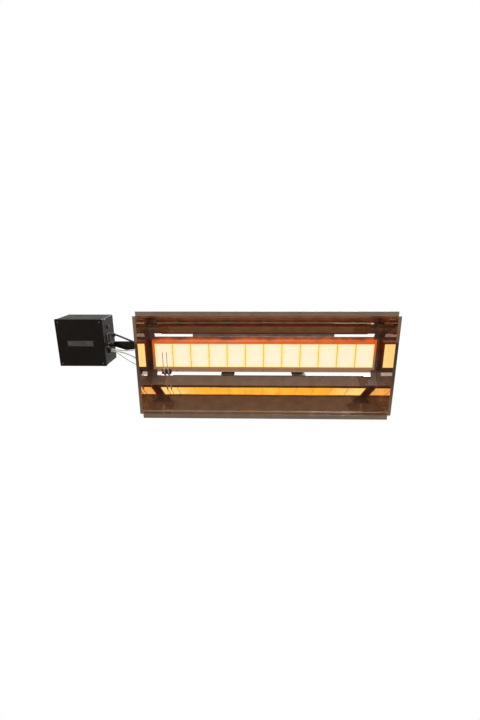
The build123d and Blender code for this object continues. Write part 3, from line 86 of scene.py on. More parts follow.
class Net:
    """Adds and links the nodes of one node tree."""

    def __init__(self, tree: bpy.types.NodeTree) -> None:
        """Take hold of a node tree."""
        self.tree = tree

    def add(self, kind: str, **values: object) -> bpy.types.Node:
        """Add a node and set it up.

        Args:
            kind: Node type without its ShaderNode prefix.
            values: Node settings by attribute, or socket values and links by socket name.

        Returns:
            The new node.
        """
        node = self.tree.nodes.new("ShaderNode" + kind)
        settings = {key: value for key, value in values.items() if hasattr(node, key)}
        for key, value in settings.items():
            setattr(node, key, value)
        self.set(node, **{key: value for key, value in values.items() if key not in settings})
        return node

    def set(self, node: bpy.types.Node, **values: object) -> None:
        """Feed a node's sockets by name, underscores standing for spaces."""
        for key, value in values.items():
            self.feed(node.inputs[key.replace("_", " ")], value)

    def feed(self, socket: Socket, value: object) -> None:
        """Link a socket to another one, or set its value."""
        if isinstance(value, Socket):
            self.tree.links.new(value, socket)
        elif isinstance(value, tuple) and len(value) == 3 and socket.type == "RGBA":
            socket.default_value = (*value, 1.0)
        else:
            socket.default_value = value

    def math(self, operation: str, *values: object, clamp: bool = False) -> Socket:
        """Add a Math node.

        Args:
            operation: Blender's name of the operation.
            values: Its inputs in order, as numbers or sockets.
            clamp: Whether the result is kept between 0 and 1.

        Returns:
            The result's socket.
        """
        node = self.add("Math", operation=operation, use_clamp=clamp)
        for socket, value in zip(node.inputs, values):
            self.feed(socket, value)
        return node.outputs[0]

    def span(self, value: Socket, low: float, high: float, start: float = 0.0, end: float = 1.0) -> Socket:
        """Map a value smoothly from low and high to start and end."""
        node = self.add("MapRange", interpolation_type="SMOOTHSTEP", Value=value,
                        From_Min=low, From_Max=high, To_Min=start, To_Max=end)
        return node.outputs["Result"]

    def blend(self, share: object, first: object, second: object, mode: str = "MIX") -> Socket:
        """Mix two colours; share is how much there is of the second one."""
        node = self.add("Mix", data_type="RGBA", blend_type=mode)
        self.feed(node.inputs[0], share)
        self.feed(node.inputs[6], first)
        self.feed(node.inputs[7], second)
        return node.outputs[2]

    def place(self) -> tuple[Socket, Socket, Socket, Socket]:
        """Object coordinates, whole and as X, Y and Z."""
        whole = self.add("TexCoord").outputs["Object"]
        parts = self.add("SeparateXYZ", Vector=whole)
        return whole, parts.outputs[0], parts.outputs[1], parts.outputs[2]

    def effect(self, effect: Effect, **values: object) -> bpy.types.Node:
        """Put a shared effect into this tree, with its own values."""
        node = self.add("Group", node_tree=EFFECTS.get(effect))
        self.set(node, **values)
        return node

    def grain(self, **values: object) -> Socket:
        """The shared grain with its own values."""
        return self.effect(Effect.GRAIN, **values).outputs["Value"]

    def bump(self, height: Socket, distance: float, normal: Socket | None = None,
             invert: bool = False) -> Socket:
        """Turn a height of 0 to 1 into a normal, on top of another one or of the plain one."""
        below = {} if normal is None else {"Normal": normal}
        return self.add("Bump", invert=invert, Height=height, Distance=distance, **below).outputs[0]

    def seen(self, otherwise: bpy.types.Node, white: str) -> bpy.types.Node:
        """White to the camera, by a node of type white, and something else to every other ray."""
        mix = self.add("MixShader")
        self.feed(mix.inputs[0], self.add("LightPath").outputs["Is Camera Ray"])
        self.feed(mix.inputs[1], otherwise.outputs[0])
        self.feed(mix.inputs[2], self.add(white, Color=(1.0, 1.0, 1.0)).outputs[0])
        return mix


class Effects:
    """Builds each shared node group the first time that a finish asks for it."""

    def __init__(self) -> None:
        """Start with no groups."""
        self.made: dict[Effect, bpy.types.NodeTree] = {}

    def get(self, effect: Effect) -> bpy.types.NodeTree:
        """The node group of an effect."""
        if effect not in self.made:
            self.made[effect] = getattr(self, effect.value)(effect.value)
        return self.made[effect]

    def group(self, name: str, inputs: dict[str, object],
              outputs: Sequence[str]) -> tuple[Net, dict, Callable]:
        """Start a node group.

        Args:
            name: The group's name.
            inputs: Input names with default values, a number or a vector.
            outputs: Output names; one that starts with Normal is a vector, and one with Tint a colour.

        Returns:
            The net, its input sockets by name, and a function that links the outputs.
        """
        tree = bpy.data.node_groups.new(name, "ShaderNodeTree")
        for key, value in inputs.items():
            kind = "NodeSocketVector" if isinstance(value, tuple) else "NodeSocketFloat"
            tree.interface.new_socket(key, in_out="INPUT", socket_type=kind).default_value = value
        kinds = {"Normal": "NodeSocketVector", "Tint": "NodeSocketColor"}
        for key in outputs:
            tree.interface.new_socket(key, in_out="OUTPUT", socket_type=kinds.get(key, "NodeSocketFloat"))
        net = Net(tree)
        entry = tree.nodes.new("NodeGroupInput")
        leave = tree.nodes.new("NodeGroupOutput")

        def done(**values: Socket) -> bpy.types.NodeTree:
            """Link the outputs and hand over the tree."""
            for key, value in values.items():
                net.feed(leave.inputs[key], value)
            return tree

        return net, {key: entry.outputs[key] for key in inputs}, done

    def grain(self, name: str) -> bpy.types.NodeTree:
        """Noise, stretched along a direction: brushing, mottling, orange peel or slow waves."""
        defaults = {"Scale": 300.0, "Stretch": (1.0, 1.0, 1.0), "Detail": 3.0}
        net, given, done = self.group(name, defaults, ["Value"])
        whole = net.place()[0]
        stretched = net.add("VectorMath", operation="MULTIPLY")
        net.feed(stretched.inputs[0], whole)
        net.feed(stretched.inputs[1], given["Stretch"])
        noise = net.add("TexNoise", Vector=stretched.outputs[0], Scale=given["Scale"], Detail=given["Detail"])
        return done(Value=noise.outputs[0])

    def edges(self, name: str) -> bpy.types.NodeTree:
        """Rounded normals at edges, and a broken-up mask of the edges that get rubbed."""
        net, given, done = self.group(name, {"Radius": 0.001, "Breakup": 160.0}, ["Mask", "Normal"])
        bevel = net.add("Bevel", samples=4, Radius=given["Radius"])
        flat = net.add("NewGeometry").outputs["Normal"]
        dot = net.add("VectorMath", operation="DOT_PRODUCT")
        net.feed(dot.inputs[0], bevel.outputs[0])
        net.feed(dot.inputs[1], flat)
        bend = net.math("SUBTRACT", 1.0, dot.outputs["Value"])
        noise = net.add("TexNoise", Vector=net.place()[0], Scale=given["Breakup"], Detail=4.0)
        broken = net.span(noise.outputs[0], 0.42, 0.62)
        mask = net.math("MULTIPLY", net.span(bend, 0.03, 0.16), broken, clamp=True)
        return done(Mask=mask, Normal=bevel.outputs[0])

    def dust(self, name: str) -> bpy.types.NodeTree:
        """Dust that lies on what faces up, in patches."""
        net, given, done = self.group(name, {"Amount": 0.2}, ["Mask"])
        facing = net.add("SeparateXYZ", Vector=net.add("NewGeometry").outputs["Normal"])
        up = net.span(facing.outputs[2], 0.35, 1.0)
        whole = net.place()[0]
        patches = net.add("TexNoise", Vector=whole, Scale=14.0, Detail=6.0)
        specks = net.add("TexNoise", Vector=whole, Scale=700.0, Detail=2.0)
        laid = net.math("MULTIPLY", up, net.span(patches.outputs[0], 0.3, 0.75))
        laid = net.math("MULTIPLY", laid, net.span(specks.outputs[0], 0.3, 0.7, 0.5, 1.0))
        return done(Mask=net.math("MULTIPLY", laid, given["Amount"], clamp=True))

    def heat_tint(self, name: str) -> bpy.types.NodeTree:
        """Straw, bronze and blue tints that heated steel takes around the glowing row."""
        net, given, done = self.group(name, {"Reach": 0.1, "HalfX": 0.57, "HalfZ": 0.0625}, ["Mask", "Tint"])
        whole, x, _, z = net.place()
        over_x = net.math("MAXIMUM", net.math("SUBTRACT", net.math("ABSOLUTE", x), given["HalfX"]), 0.0)
        over_z = net.math("MAXIMUM", net.math("SUBTRACT", net.math("ABSOLUTE", z), given["HalfZ"]), 0.0)
        squares = net.math("ADD", net.math("POWER", over_x, 2.0), net.math("POWER", over_z, 2.0))
        away = net.math("SQRT", squares)
        clouds = net.add("TexNoise", Vector=whole, Scale=16.0, Detail=5.0)
        away = net.math("ADD", away, net.math("MULTIPLY", net.math("SUBTRACT", clouds.outputs[0], 0.5), 0.05))
        near = net.math("SUBTRACT", 1.0, net.math("DIVIDE", away, given["Reach"]), clamp=True)
        ramp = net.add("ValToRGB", Fac=near)
        stops = ((0.0, (1.0, 1.0, 1.0)), (0.3, (1.0, 0.94, 0.84)), (0.55, (0.97, 0.8, 0.66)),
                 (0.75, (0.84, 0.7, 0.7)), (1.0, (0.78, 0.75, 0.77)))
        elements = ramp.color_ramp.elements
        while len(elements) < len(stops):
            elements.new(0.5)
        for element, (position, colour) in zip(elements, stops):
            element.position = position
            element.color = (*colour, 1.0)
        return done(Mask=near, Tint=ramp.outputs[0])

    def pores(self, name: str) -> bpy.types.NodeTree:
        """Fine holes in a honeycomb layout across X and Z."""
        net, given, done = self.group(name, {"Pitch": 0.0026}, ["Mask"])
        _, x, _, z = net.place()
        wave = net.math("DIVIDE", 2 * math.pi, given["Pitch"])
        half = net.math("MULTIPLY", x, 0.5)
        tall = net.math("MULTIPLY", z, math.sqrt(0.75))
        total = net.math("COSINE", net.math("MULTIPLY", x, wave))
        for side in ("ADD", "SUBTRACT"):
            slanted = net.math("MULTIPLY", net.math(side, tall, half), wave)
            total = net.math("ADD", total, net.math("COSINE", slanted))
        return done(Mask=net.span(total, 1.3, 2.3))

    def tile_fade(self, name: str) -> bpy.types.NodeTree:
        """1 in the middle of each plaque of the row, and 0 at its edges."""
        net, given, done = self.group(name, {"Pitch": 0.095, "Width": 0.092, "Height": 0.132, "Fade": 0.016},
                                      ["Mask"])
        _, x, _, z = net.place()
        turn = net.math("FRACT", net.math("DIVIDE", x, given["Pitch"]))
        across = net.math("MULTIPLY", net.math("ABSOLUTE", net.math("SUBTRACT", turn, 0.5)), given["Pitch"])
        side = net.math("SUBTRACT", net.math("MULTIPLY", given["Width"], 0.5), across)
        end = net.math("SUBTRACT", net.math("MULTIPLY", given["Height"], 0.5), net.math("ABSOLUTE", z))
        inside = net.math("DIVIDE", net.math("MINIMUM", side, end), given["Fade"], clamp=True)
        return done(Mask=net.span(inside, 0.0, 1.0))


EFFECTS = Effects()


@dataclass(frozen=True)
class Finish:
    """A finish with a name; each kind builds its own material."""

    name: str
    colour: Colour = (0.5, 0.5, 0.5)
    roughness: float = 0.4

    def shade(self, net: Net, shader: bpy.types.Node) -> None:
        """Fill the material; each kind of finish does this its own way."""
        raise NotImplementedError

    def material(self) -> bpy.types.Material:
        """The finish's material, built once."""
        name = f"{self.name}_finish"
        if name not in bpy.data.materials:
            material = bpy.data.materials.new(name)
            material.use_nodes = True
            self.shade(Net(material.node_tree), material.node_tree.nodes["Principled BSDF"])
        return bpy.data.materials[name]

    def tones(self, net: Net, low: float, high: float, scale: float) -> Socket:
        """The finish's colour, mottled between two brightnesses."""
        mottle = net.grain(Scale=scale, Detail=5.0)
        dark = tuple(channel * low for channel in self.colour)
        light = tuple(min(channel * high, 1.0) for channel in self.colour)
        return net.blend(net.span(mottle, 0.3, 0.7), dark, light)


@dataclass(frozen=True)
class Steel(Finish):
    """Bare metal: brushed or polished, tinted by heat, rubbed at its edges, with dust on top."""

    stretch: Point = (1.0, 1.0, 1.0)
    grain_scale: float = 500.0
    grain_depth: float = 0.00002
    wave_depth: float = 0.0
    heat_reach: float = 0.0
    dust: float = 0.1
    shadow: float = 0.8
    oxide: float = 0.0

    def shade(self, net: Net, shader: bpy.types.Node) -> None:
        """Build the metal."""
        grain = net.grain(Scale=self.grain_scale, Stretch=self.stretch)
        colour = self.tones(net, self.shadow, 1.08, 22.0)
        if self.heat_reach:
            heat = net.effect(Effect.HEAT, Reach=self.heat_reach)
            colour = net.blend(1.0, colour, heat.outputs["Tint"], "MULTIPLY")
        edges = net.effect(Effect.EDGES, Radius=0.0008)
        bright = tuple(min(channel * 1.4, 1.0) for channel in self.colour)
        colour = net.blend(net.math("MULTIPLY", edges.outputs["Mask"], 0.6), colour, bright)
        dust = net.effect(Effect.DUST, Amount=self.dust).outputs["Mask"]
        colour = net.blend(dust, colour, (0.3, 0.27, 0.23))
        rough = net.span(grain, 0.2, 0.8, self.roughness * 0.75, self.roughness * 1.3)
        rough = net.math("ADD", rough, net.math("MULTIPLY", dust, 0.5), clamp=True)
        normal = edges.outputs["Normal"]
        if self.wave_depth:
            waves = net.grain(Scale=5.0, Stretch=(1.0, 2.0, 2.0), Detail=1.0)
            normal = net.bump(waves, self.wave_depth, normal)
        net.set(shader, Base_Color=colour, Roughness=rough,
                Metallic=net.math("SUBTRACT", 1.0 - self.oxide, dust, clamp=True),
                Normal=net.bump(grain, self.grain_depth, normal))


@dataclass(frozen=True)
class GlowPaintedSteel(Steel):
    """Oxidised steel beside the flames, with a painted orange glow at the window: painted stronger above it
    than below, and stronger to the camera than in other rays.
    """

    # Painted orange glow on the frame: strongest at the window, dimmer further out, browner on the lower
    # side, none beyond the reach.
    glow: Colour = (0.66, 0.095, 0.004)
    painted_dim_glow: Colour = (0.10, 0.014, 0.003)
    below: Colour = (0.27, 0.13, 0.06)
    reach: float = 0.05
    back: float = at(0.2235)
    painted_glow_spill: float = 0.15

    def shade(self, net: Net, shader: bpy.types.Node) -> None:
        """Build the steel, then its painted glow."""
        super().shade(net, shader)
        near = net.effect(Effect.HEAT, Reach=self.reach).outputs["Mask"]
        _, _, y, z = net.place()
        near = net.math("MULTIPLY", near, net.math("LESS_THAN", y, self.back))
        painted_glow_colour = net.blend(net.span(near, 0.3, 0.8), self.painted_dim_glow, self.glow)
        painted_glow_colour = net.blend(net.span(z, -0.05, 0.05), self.below, painted_glow_colour)
        painted_glow_colour = net.blend(net.span(near, 0.0, 0.3), (0.0, 0.0, 0.0), painted_glow_colour)
        # The painted glow is at full strength to the camera and weaker in every other ray.
        direct = net.add("LightPath").outputs["Is Camera Ray"]
        net.set(shader, Emission_Color=painted_glow_colour,
                Emission_Strength=net.math("MULTIPLY_ADD", direct, 1.0 - self.painted_glow_spill, self.painted_glow_spill))


@dataclass(frozen=True)
class Paint(Finish):
    """Baked enamel over steel: orange peel, worn edges, dust."""

    peel: float = 0.00003
    worn: Colour = (0.25, 0.24, 0.22)
    dust: float = 0.15

    def shade(self, net: Net, shader: bpy.types.Node) -> None:
        """Build the enamel."""
        peel = net.grain(Scale=520.0, Detail=2.0)
        smears = net.grain(Scale=18.0, Detail=6.0)
        edges = net.effect(Effect.EDGES, Radius=0.0011)
        colour = self.tones(net, 0.8, 1.3, 30.0)
        colour = net.blend(net.math("MULTIPLY", edges.outputs["Mask"], 0.55), colour, self.worn)
        dust = net.effect(Effect.DUST, Amount=self.dust).outputs["Mask"]
        colour = net.blend(dust, colour, (0.26, 0.24, 0.21))
        rough = net.span(smears, 0.3, 0.7, self.roughness * 0.8, self.roughness * 1.25)
        rough = net.math("ADD", rough, net.math("MULTIPLY", dust, 0.4), clamp=True)
        net.set(shader, Base_Color=colour, Roughness=rough,
                Normal=net.bump(peel, self.peel, edges.outputs["Normal"]))


@dataclass(frozen=True)
class Moulded(Finish):
    """Plastic, silicone or glazed ceramic: slight tone changes, fine skin, grime."""

    skin: float = 0.00002
    skin_scale: float = 900.0
    grime: float = 0.25
    grime_colour: Colour = (0.2, 0.16, 0.12)
    gloss: float = 0.0

    def shade(self, net: Net, shader: bpy.types.Node) -> None:
        """Build the moulded skin."""
        skin = net.grain(Scale=self.skin_scale, Detail=2.0)
        grime = net.grain(Scale=55.0, Detail=6.0)
        colour = self.tones(net, 0.86, 1.06, 40.0)
        colour = net.blend(net.span(grime, 0.5, 0.85, 0.0, self.grime), colour, self.grime_colour)
        edges = net.effect(Effect.EDGES, Radius=0.0005)
        rough = net.span(grime, 0.3, 0.7, self.roughness * 0.85, self.roughness * 1.2)
        net.set(shader, Base_Color=colour, Roughness=rough, Coat_Weight=self.gloss,
                Normal=net.bump(skin, self.skin, edges.outputs["Normal"]))


@dataclass(frozen=True)
class Glow(Finish):
    """Red-hot perforated ceramic: creamy in the middle, yellow at the edges, orange light around it."""

    middle: Colour = (0.47, 0.41, 0.31)
    edge: Colour = (0.50, 0.37, 0.12)
    cast: Colour = (0.95, 0.40, 0.02)
    cast_end: Colour = (0.80, 0.60, 0.22)
    strength: float = 2.0

    def shade(self, net: Net, shader: bpy.types.Node) -> None:
        """Build the glowing ceramic."""
        fade = net.effect(Effect.TILES).outputs["Mask"]
        pores = net.effect(Effect.PORES).outputs["Mask"]
        mottle = net.grain(Scale=34.0, Detail=4.0)
        lit = net.math("MULTIPLY", fade, net.span(mottle, 0.25, 0.6, 0.6, 1.0), clamp=True)
        seen = net.blend(lit, self.edge, self.middle)
        seen = net.blend(net.math("MULTIPLY", pores, 0.22), seen, (0.5, 0.3, 0.08))
        direct = net.add("LightPath").outputs["Is Camera Ray"]
        far = net.span(net.math("ABSOLUTE", net.place()[1]), 0.36, 0.5)
        cast = net.blend(far, self.cast, self.cast_end)
        net.set(shader, Emission_Color=net.blend(direct, cast, seen), Emission_Strength=self.strength,
                Base_Color=self.tones(net, 0.85, 1.05, 50.0), Roughness=self.roughness,
                Normal=net.bump(pores, 0.0003, invert=True))


@dataclass(frozen=True)
class Fibre(Finish):
    """Ceramic fibre seal that glows dully between the plaques."""

    glow: Colour = (0.80, 0.60, 0.14)
    strength: float = 0.8

    def shade(self, net: Net, shader: bpy.types.Node) -> None:
        """Build the fibre."""
        strands = net.grain(Scale=420.0, Stretch=(1.0, 1.0, 0.3), Detail=5.0)
        dark = tuple(channel * 0.6 for channel in self.glow)
        net.set(shader, Emission_Color=net.blend(net.span(strands, 0.3, 0.7), dark, self.glow),
                Emission_Strength=self.strength, Base_Color=self.tones(net, 0.7, 1.1, 120.0),
                Roughness=self.roughness, Normal=net.bump(strands, 0.0006))


ALONG_X = (0.02, 1.0, 1.0)
ALONG_Z = (1.0, 1.0, 0.03)
FINISHES: dict[str, Finish] = {finish.name: finish for finish in (
    Steel("polished_steel", (0.76, 0.63, 0.53), 0.035, ALONG_X, 700.0, 0.000001,
          wave_depth=0.0003, heat_reach=0.19, dust=0.06, shadow=0.92),
    Steel("rivet_steel", (0.72, 0.62, 0.52), 0.16, dust=0.05),
    Steel("dark_steel", (0.40, 0.33, 0.295), 0.42, grain_scale=260.0, grain_depth=0.00004,
          heat_reach=0.12, dust=0.25, shadow=0.7, oxide=0.75),
    # Burner frame steel, with a painted orange glow at the window.
    GlowPaintedSteel("burner_steel", (0.30, 0.225, 0.18), 0.38, ALONG_X, 500.0, 0.000004,
             wave_depth=0.0002, heat_reach=0.06, dust=0.05, shadow=0.75, oxide=0.35),
    Steel("fasteners", (0.62, 0.60, 0.56), 0.26, grain_scale=900.0, dust=0.08, shadow=0.7),
    Glow("plaque_ceramic", (0.2, 0.18, 0.14), 0.85),
    Fibre("gasket_fibre", (0.3, 0.28, 0.2), 0.95),
    Steel("brass", (0.70, 0.50, 0.22), 0.24, grain_scale=700.0, dust=0.1, shadow=0.7),
    Steel("pipe_steel", (0.16, 0.155, 0.15), 0.32, ALONG_X, 400.0, 0.00001, shadow=0.7),
    Steel("electrode_wire", (0.42, 0.36, 0.30), 0.4, ALONG_Z, 900.0, heat_reach=0.06),
    Moulded("insulator_ceramic", (0.88, 0.85, 0.76), 0.22, grime=0.35, gloss=0.6),
    Paint("black_enamel", (0.0075, 0.0065, 0.006), 0.33),
    Steel("plate_grey", (0.40, 0.39, 0.38), 0.42, ALONG_X, 900.0, 0.000008, shadow=0.8),
    Moulded("button_red", (0.34, 0.03, 0.022), 0.3, gloss=0.4),
    Moulded("black_plastic", (0.02, 0.02, 0.02), 0.45),
    Moulded("socket_grey", (0.2, 0.2, 0.195), 0.42),
    Steel("spring_steel", (0.62, 0.61, 0.60), 0.22, grain_scale=900.0),
    Steel("valve_aluminium", (0.60, 0.60, 0.61), 0.4, grain_scale=800.0, grain_depth=0.00005),
    Moulded("coil_plastic", (0.02, 0.021, 0.025), 0.4),
    Moulded("lead_silicone", (0.93, 0.92, 0.84), 0.4, grime=0.3, grime_colour=(0.55, 0.49, 0.38)),
    Moulded("earth_sleeve", (0.50, 0.50, 0.45), 0.38, grime=0.3),
)}


# ---------------------------------------------------------------- modelling


def link(obj: bpy.types.Object) -> bpy.types.Object:
    """Put a new object into the scene."""
    bpy.context.scene.collection.objects.link(obj)
    return obj


class Blank:
    """A mesh on the bench, shaped with edit-mode operators."""

    def __init__(self, obj: bpy.types.Object) -> None:
        """Take an object in hand."""
        self.obj = obj

    @staticmethod
    def clear() -> None:
        """Leave nothing selected."""
        bpy.ops.object.select_all(action="DESELECT")

    def hold(self, others: Sequence["Blank"] = ()) -> None:
        """Select this blank and maybe others, with this one active."""
        self.clear()
        for blank in (*others, self):
            blank.obj.select_set(True)
        bpy.context.view_layer.objects.active = self.obj

    @classmethod
    def placed(cls, scale: Point = (1.0, 1.0, 1.0)) -> "Blank":
        """The primitive just added, scaled, with its place put into its mesh."""
        bpy.context.active_object.scale = scale
        bpy.ops.object.transform_apply(location=True, rotation=True, scale=True)
        return cls(bpy.context.active_object)

    @classmethod
    def rod(cls, radius: float, length: float, centre: Point = (0, 0, 0), axis: Point = (0, 0, 1),
            sides: int = 32) -> "Blank":
        """A round bar along an axis, with its place in its mesh."""
        cls.clear()
        turn = Vector(axis).to_track_quat("Z", "Y").to_euler()
        bpy.ops.mesh.primitive_cylinder_add(vertices=sides, radius=radius, depth=length, location=centre,
                                            rotation=turn)
        return cls.placed()

    @classmethod
    def slab(cls, size: Point, centre: Point) -> "Blank":
        """A block of a size about a centre, with its place in its mesh."""
        cls.clear()
        bpy.ops.mesh.primitive_cube_add(size=1.0, location=centre)
        return cls.placed(size)

    @classmethod
    def grid(cls, columns: int, rows: int, size: tuple[float, float], centre: Point) -> "Blank":
        """A sheet that faces -Y: columns along X, rows along Z, size as width and height."""
        cls.clear()
        bpy.ops.mesh.primitive_grid_add(x_subdivisions=columns, y_subdivisions=rows, size=1.0,
                                        location=centre, rotation=(math.pi / 2, 0, 0))
        return cls.placed((size[0], size[1], 1.0))

    def edit(self, mode: str = "FACE") -> "Blank":
        """Enter edit mode with nothing selected."""
        self.hold()
        bpy.ops.object.mode_set(mode="EDIT")
        bpy.ops.mesh.select_mode(type=mode)
        bpy.ops.mesh.select_all(action="DESELECT")
        return self

    def pick(self, test: Callable[[bmesh.types.BMFace], bool]) -> "Blank":
        """Select the faces that a test accepts, and no others."""
        shape = bmesh.from_edit_mesh(self.obj.data)
        bpy.ops.mesh.select_all(action="DESELECT")
        for face in shape.faces:
            if test(face):
                face.select_set(True)
        bmesh.update_edit_mesh(self.obj.data)
        return self

    def facing(self, direction: Point) -> "Blank":
        """Select the faces that look in a direction."""
        way = Vector(direction).normalized()
        return self.pick(lambda face: face.normal.dot(way) > 0.99)

    def inset(self, thickness: float, depth: float = 0.0, each: bool = False) -> "Blank":
        """Inset what is selected; depth above 0 raises it."""
        bpy.ops.mesh.inset(thickness=thickness, depth=depth, use_individual=each)
        return self

    def push(self, way: Point) -> "Blank":
        """Extrude what is selected by a vector."""
        bpy.ops.mesh.extrude_region_move(TRANSFORM_OT_translate={"value": way})
        return self

    def grow(self, factors: Point, centre: Point) -> "Blank":
        """Scale what is selected about a point."""
        bpy.ops.transform.resize(value=factors, center_override=centre)
        return self

    def done(self) -> "Blank":
        """Leave edit mode."""
        bpy.ops.object.mode_set(mode="OBJECT")
        return self

    def bevel(self, width: float, segments: int = 2, angle: float = 40.0) -> "Blank":
        """Round the sharp edges with a modifier, and apply it."""
        modifier = self.obj.modifiers.new("bevel", "BEVEL")
        modifier.width = width
        modifier.segments = segments
        modifier.limit_method = "ANGLE"
        modifier.angle_limit = math.radians(angle)
        self.apply("bevel")
        return self

    def cut(self, cutter: "Blank") -> "Blank":
        """Cut another blank out of this one, and throw the cutter away."""
        modifier = self.obj.modifiers.new("cut", "BOOLEAN")
        modifier.operation = "DIFFERENCE"
        modifier.solver = "EXACT"
        modifier.object = cutter.obj
        self.apply("cut")
        bpy.data.objects.remove(cutter.obj)
        return self

    def apply(self, modifier: str) -> None:
        """Apply one of the object's modifiers."""
        self.hold()
        bpy.ops.object.modifier_apply(modifier=modifier)

    def join(self, others: Sequence["Blank"]) -> "Blank":
        """Join other blanks into this one."""
        self.hold(others)
        bpy.ops.object.join()
        return self

    def copy(self, place: Matrix) -> "Blank":
        """A copy with its own mesh, moved by a matrix."""
        obj = self.obj.copy()
        obj.data = self.obj.data.copy()
        obj.data.transform(place)
        return Blank(link(obj))

    def smooth(self, angle: float = 35.0) -> "Blank":
        """Shade smooth below an angle."""
        self.hold()
        bpy.ops.object.shade_smooth_by_angle(angle=math.radians(angle))
        return self

    def piece(self, name: str, body: str, slot: str, replaces: Sequence[str] = ()) -> bpy.types.Object:
        """Name the finished piece, dress it and put it on its body.

        Args:
            name: The piece's name.
            body: The CAD body that it rides on.
            slot: The record's material slot, which names the finish too.
            replaces: CAD nodes that it stands for.

        Returns:
            The finished object.
        """
        self.obj.name = name
        self.obj.data.name = name
        self.obj.data.materials.clear()
        self.obj.data.materials.append(FINISHES[slot].material())
        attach(self.obj, body)
        if replaces:
            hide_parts(*replaces)
        log.info("%s: %d faces", name, len(self.obj.data.polygons))
        return self.obj


class CadNodes:
    """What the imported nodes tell: their finish slots and the places of their separate solids."""

    def __init__(self) -> None:
        """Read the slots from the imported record."""
        self.slots = {part["node"]: part["material_slot"] for part in frame["record"]["subparts"]}

    def dress(self) -> None:
        """Give every shown node its finish."""
        for name, obj in frame["nodes"].items():
            obj.data.materials.clear()
            obj.data.materials.append(FINISHES[self.slots[name]].material())

    @staticmethod
    def solids(node: str) -> list[tuple[Vector, Vector]]:
        """Lowest and highest corner of each separate solid of a node, left to right."""
        shape = bmesh.new()
        shape.from_mesh(frame["nodes"][node].data)
        bmesh.ops.remove_doubles(shape, verts=shape.verts, dist=1e-6)
        seen: set[int] = set()
        boxes = []
        for start in shape.verts:
            if start.index in seen:
                continue
            seen.add(start.index)
            heap = [start]
            island = []
            while heap:
                vertex = heap.pop()
                island.append(vertex.co.copy())
                for edge in vertex.link_edges:
                    other = edge.other_vert(vertex)
                    if other.index not in seen:
                        seen.add(other.index)
                        heap.append(other)
            low = Vector(min(co[axis] for co in island) for axis in range(3))
            high = Vector(max(co[axis] for co in island) for axis in range(3))
            boxes.append((low, high))
        shape.free()
        return sorted(boxes, key=lambda box: (round(box[0].x, 4), round(box[0].z, 4), round(box[0].y, 4)))


# ---------------------------------------------------------------- sub-assemblies


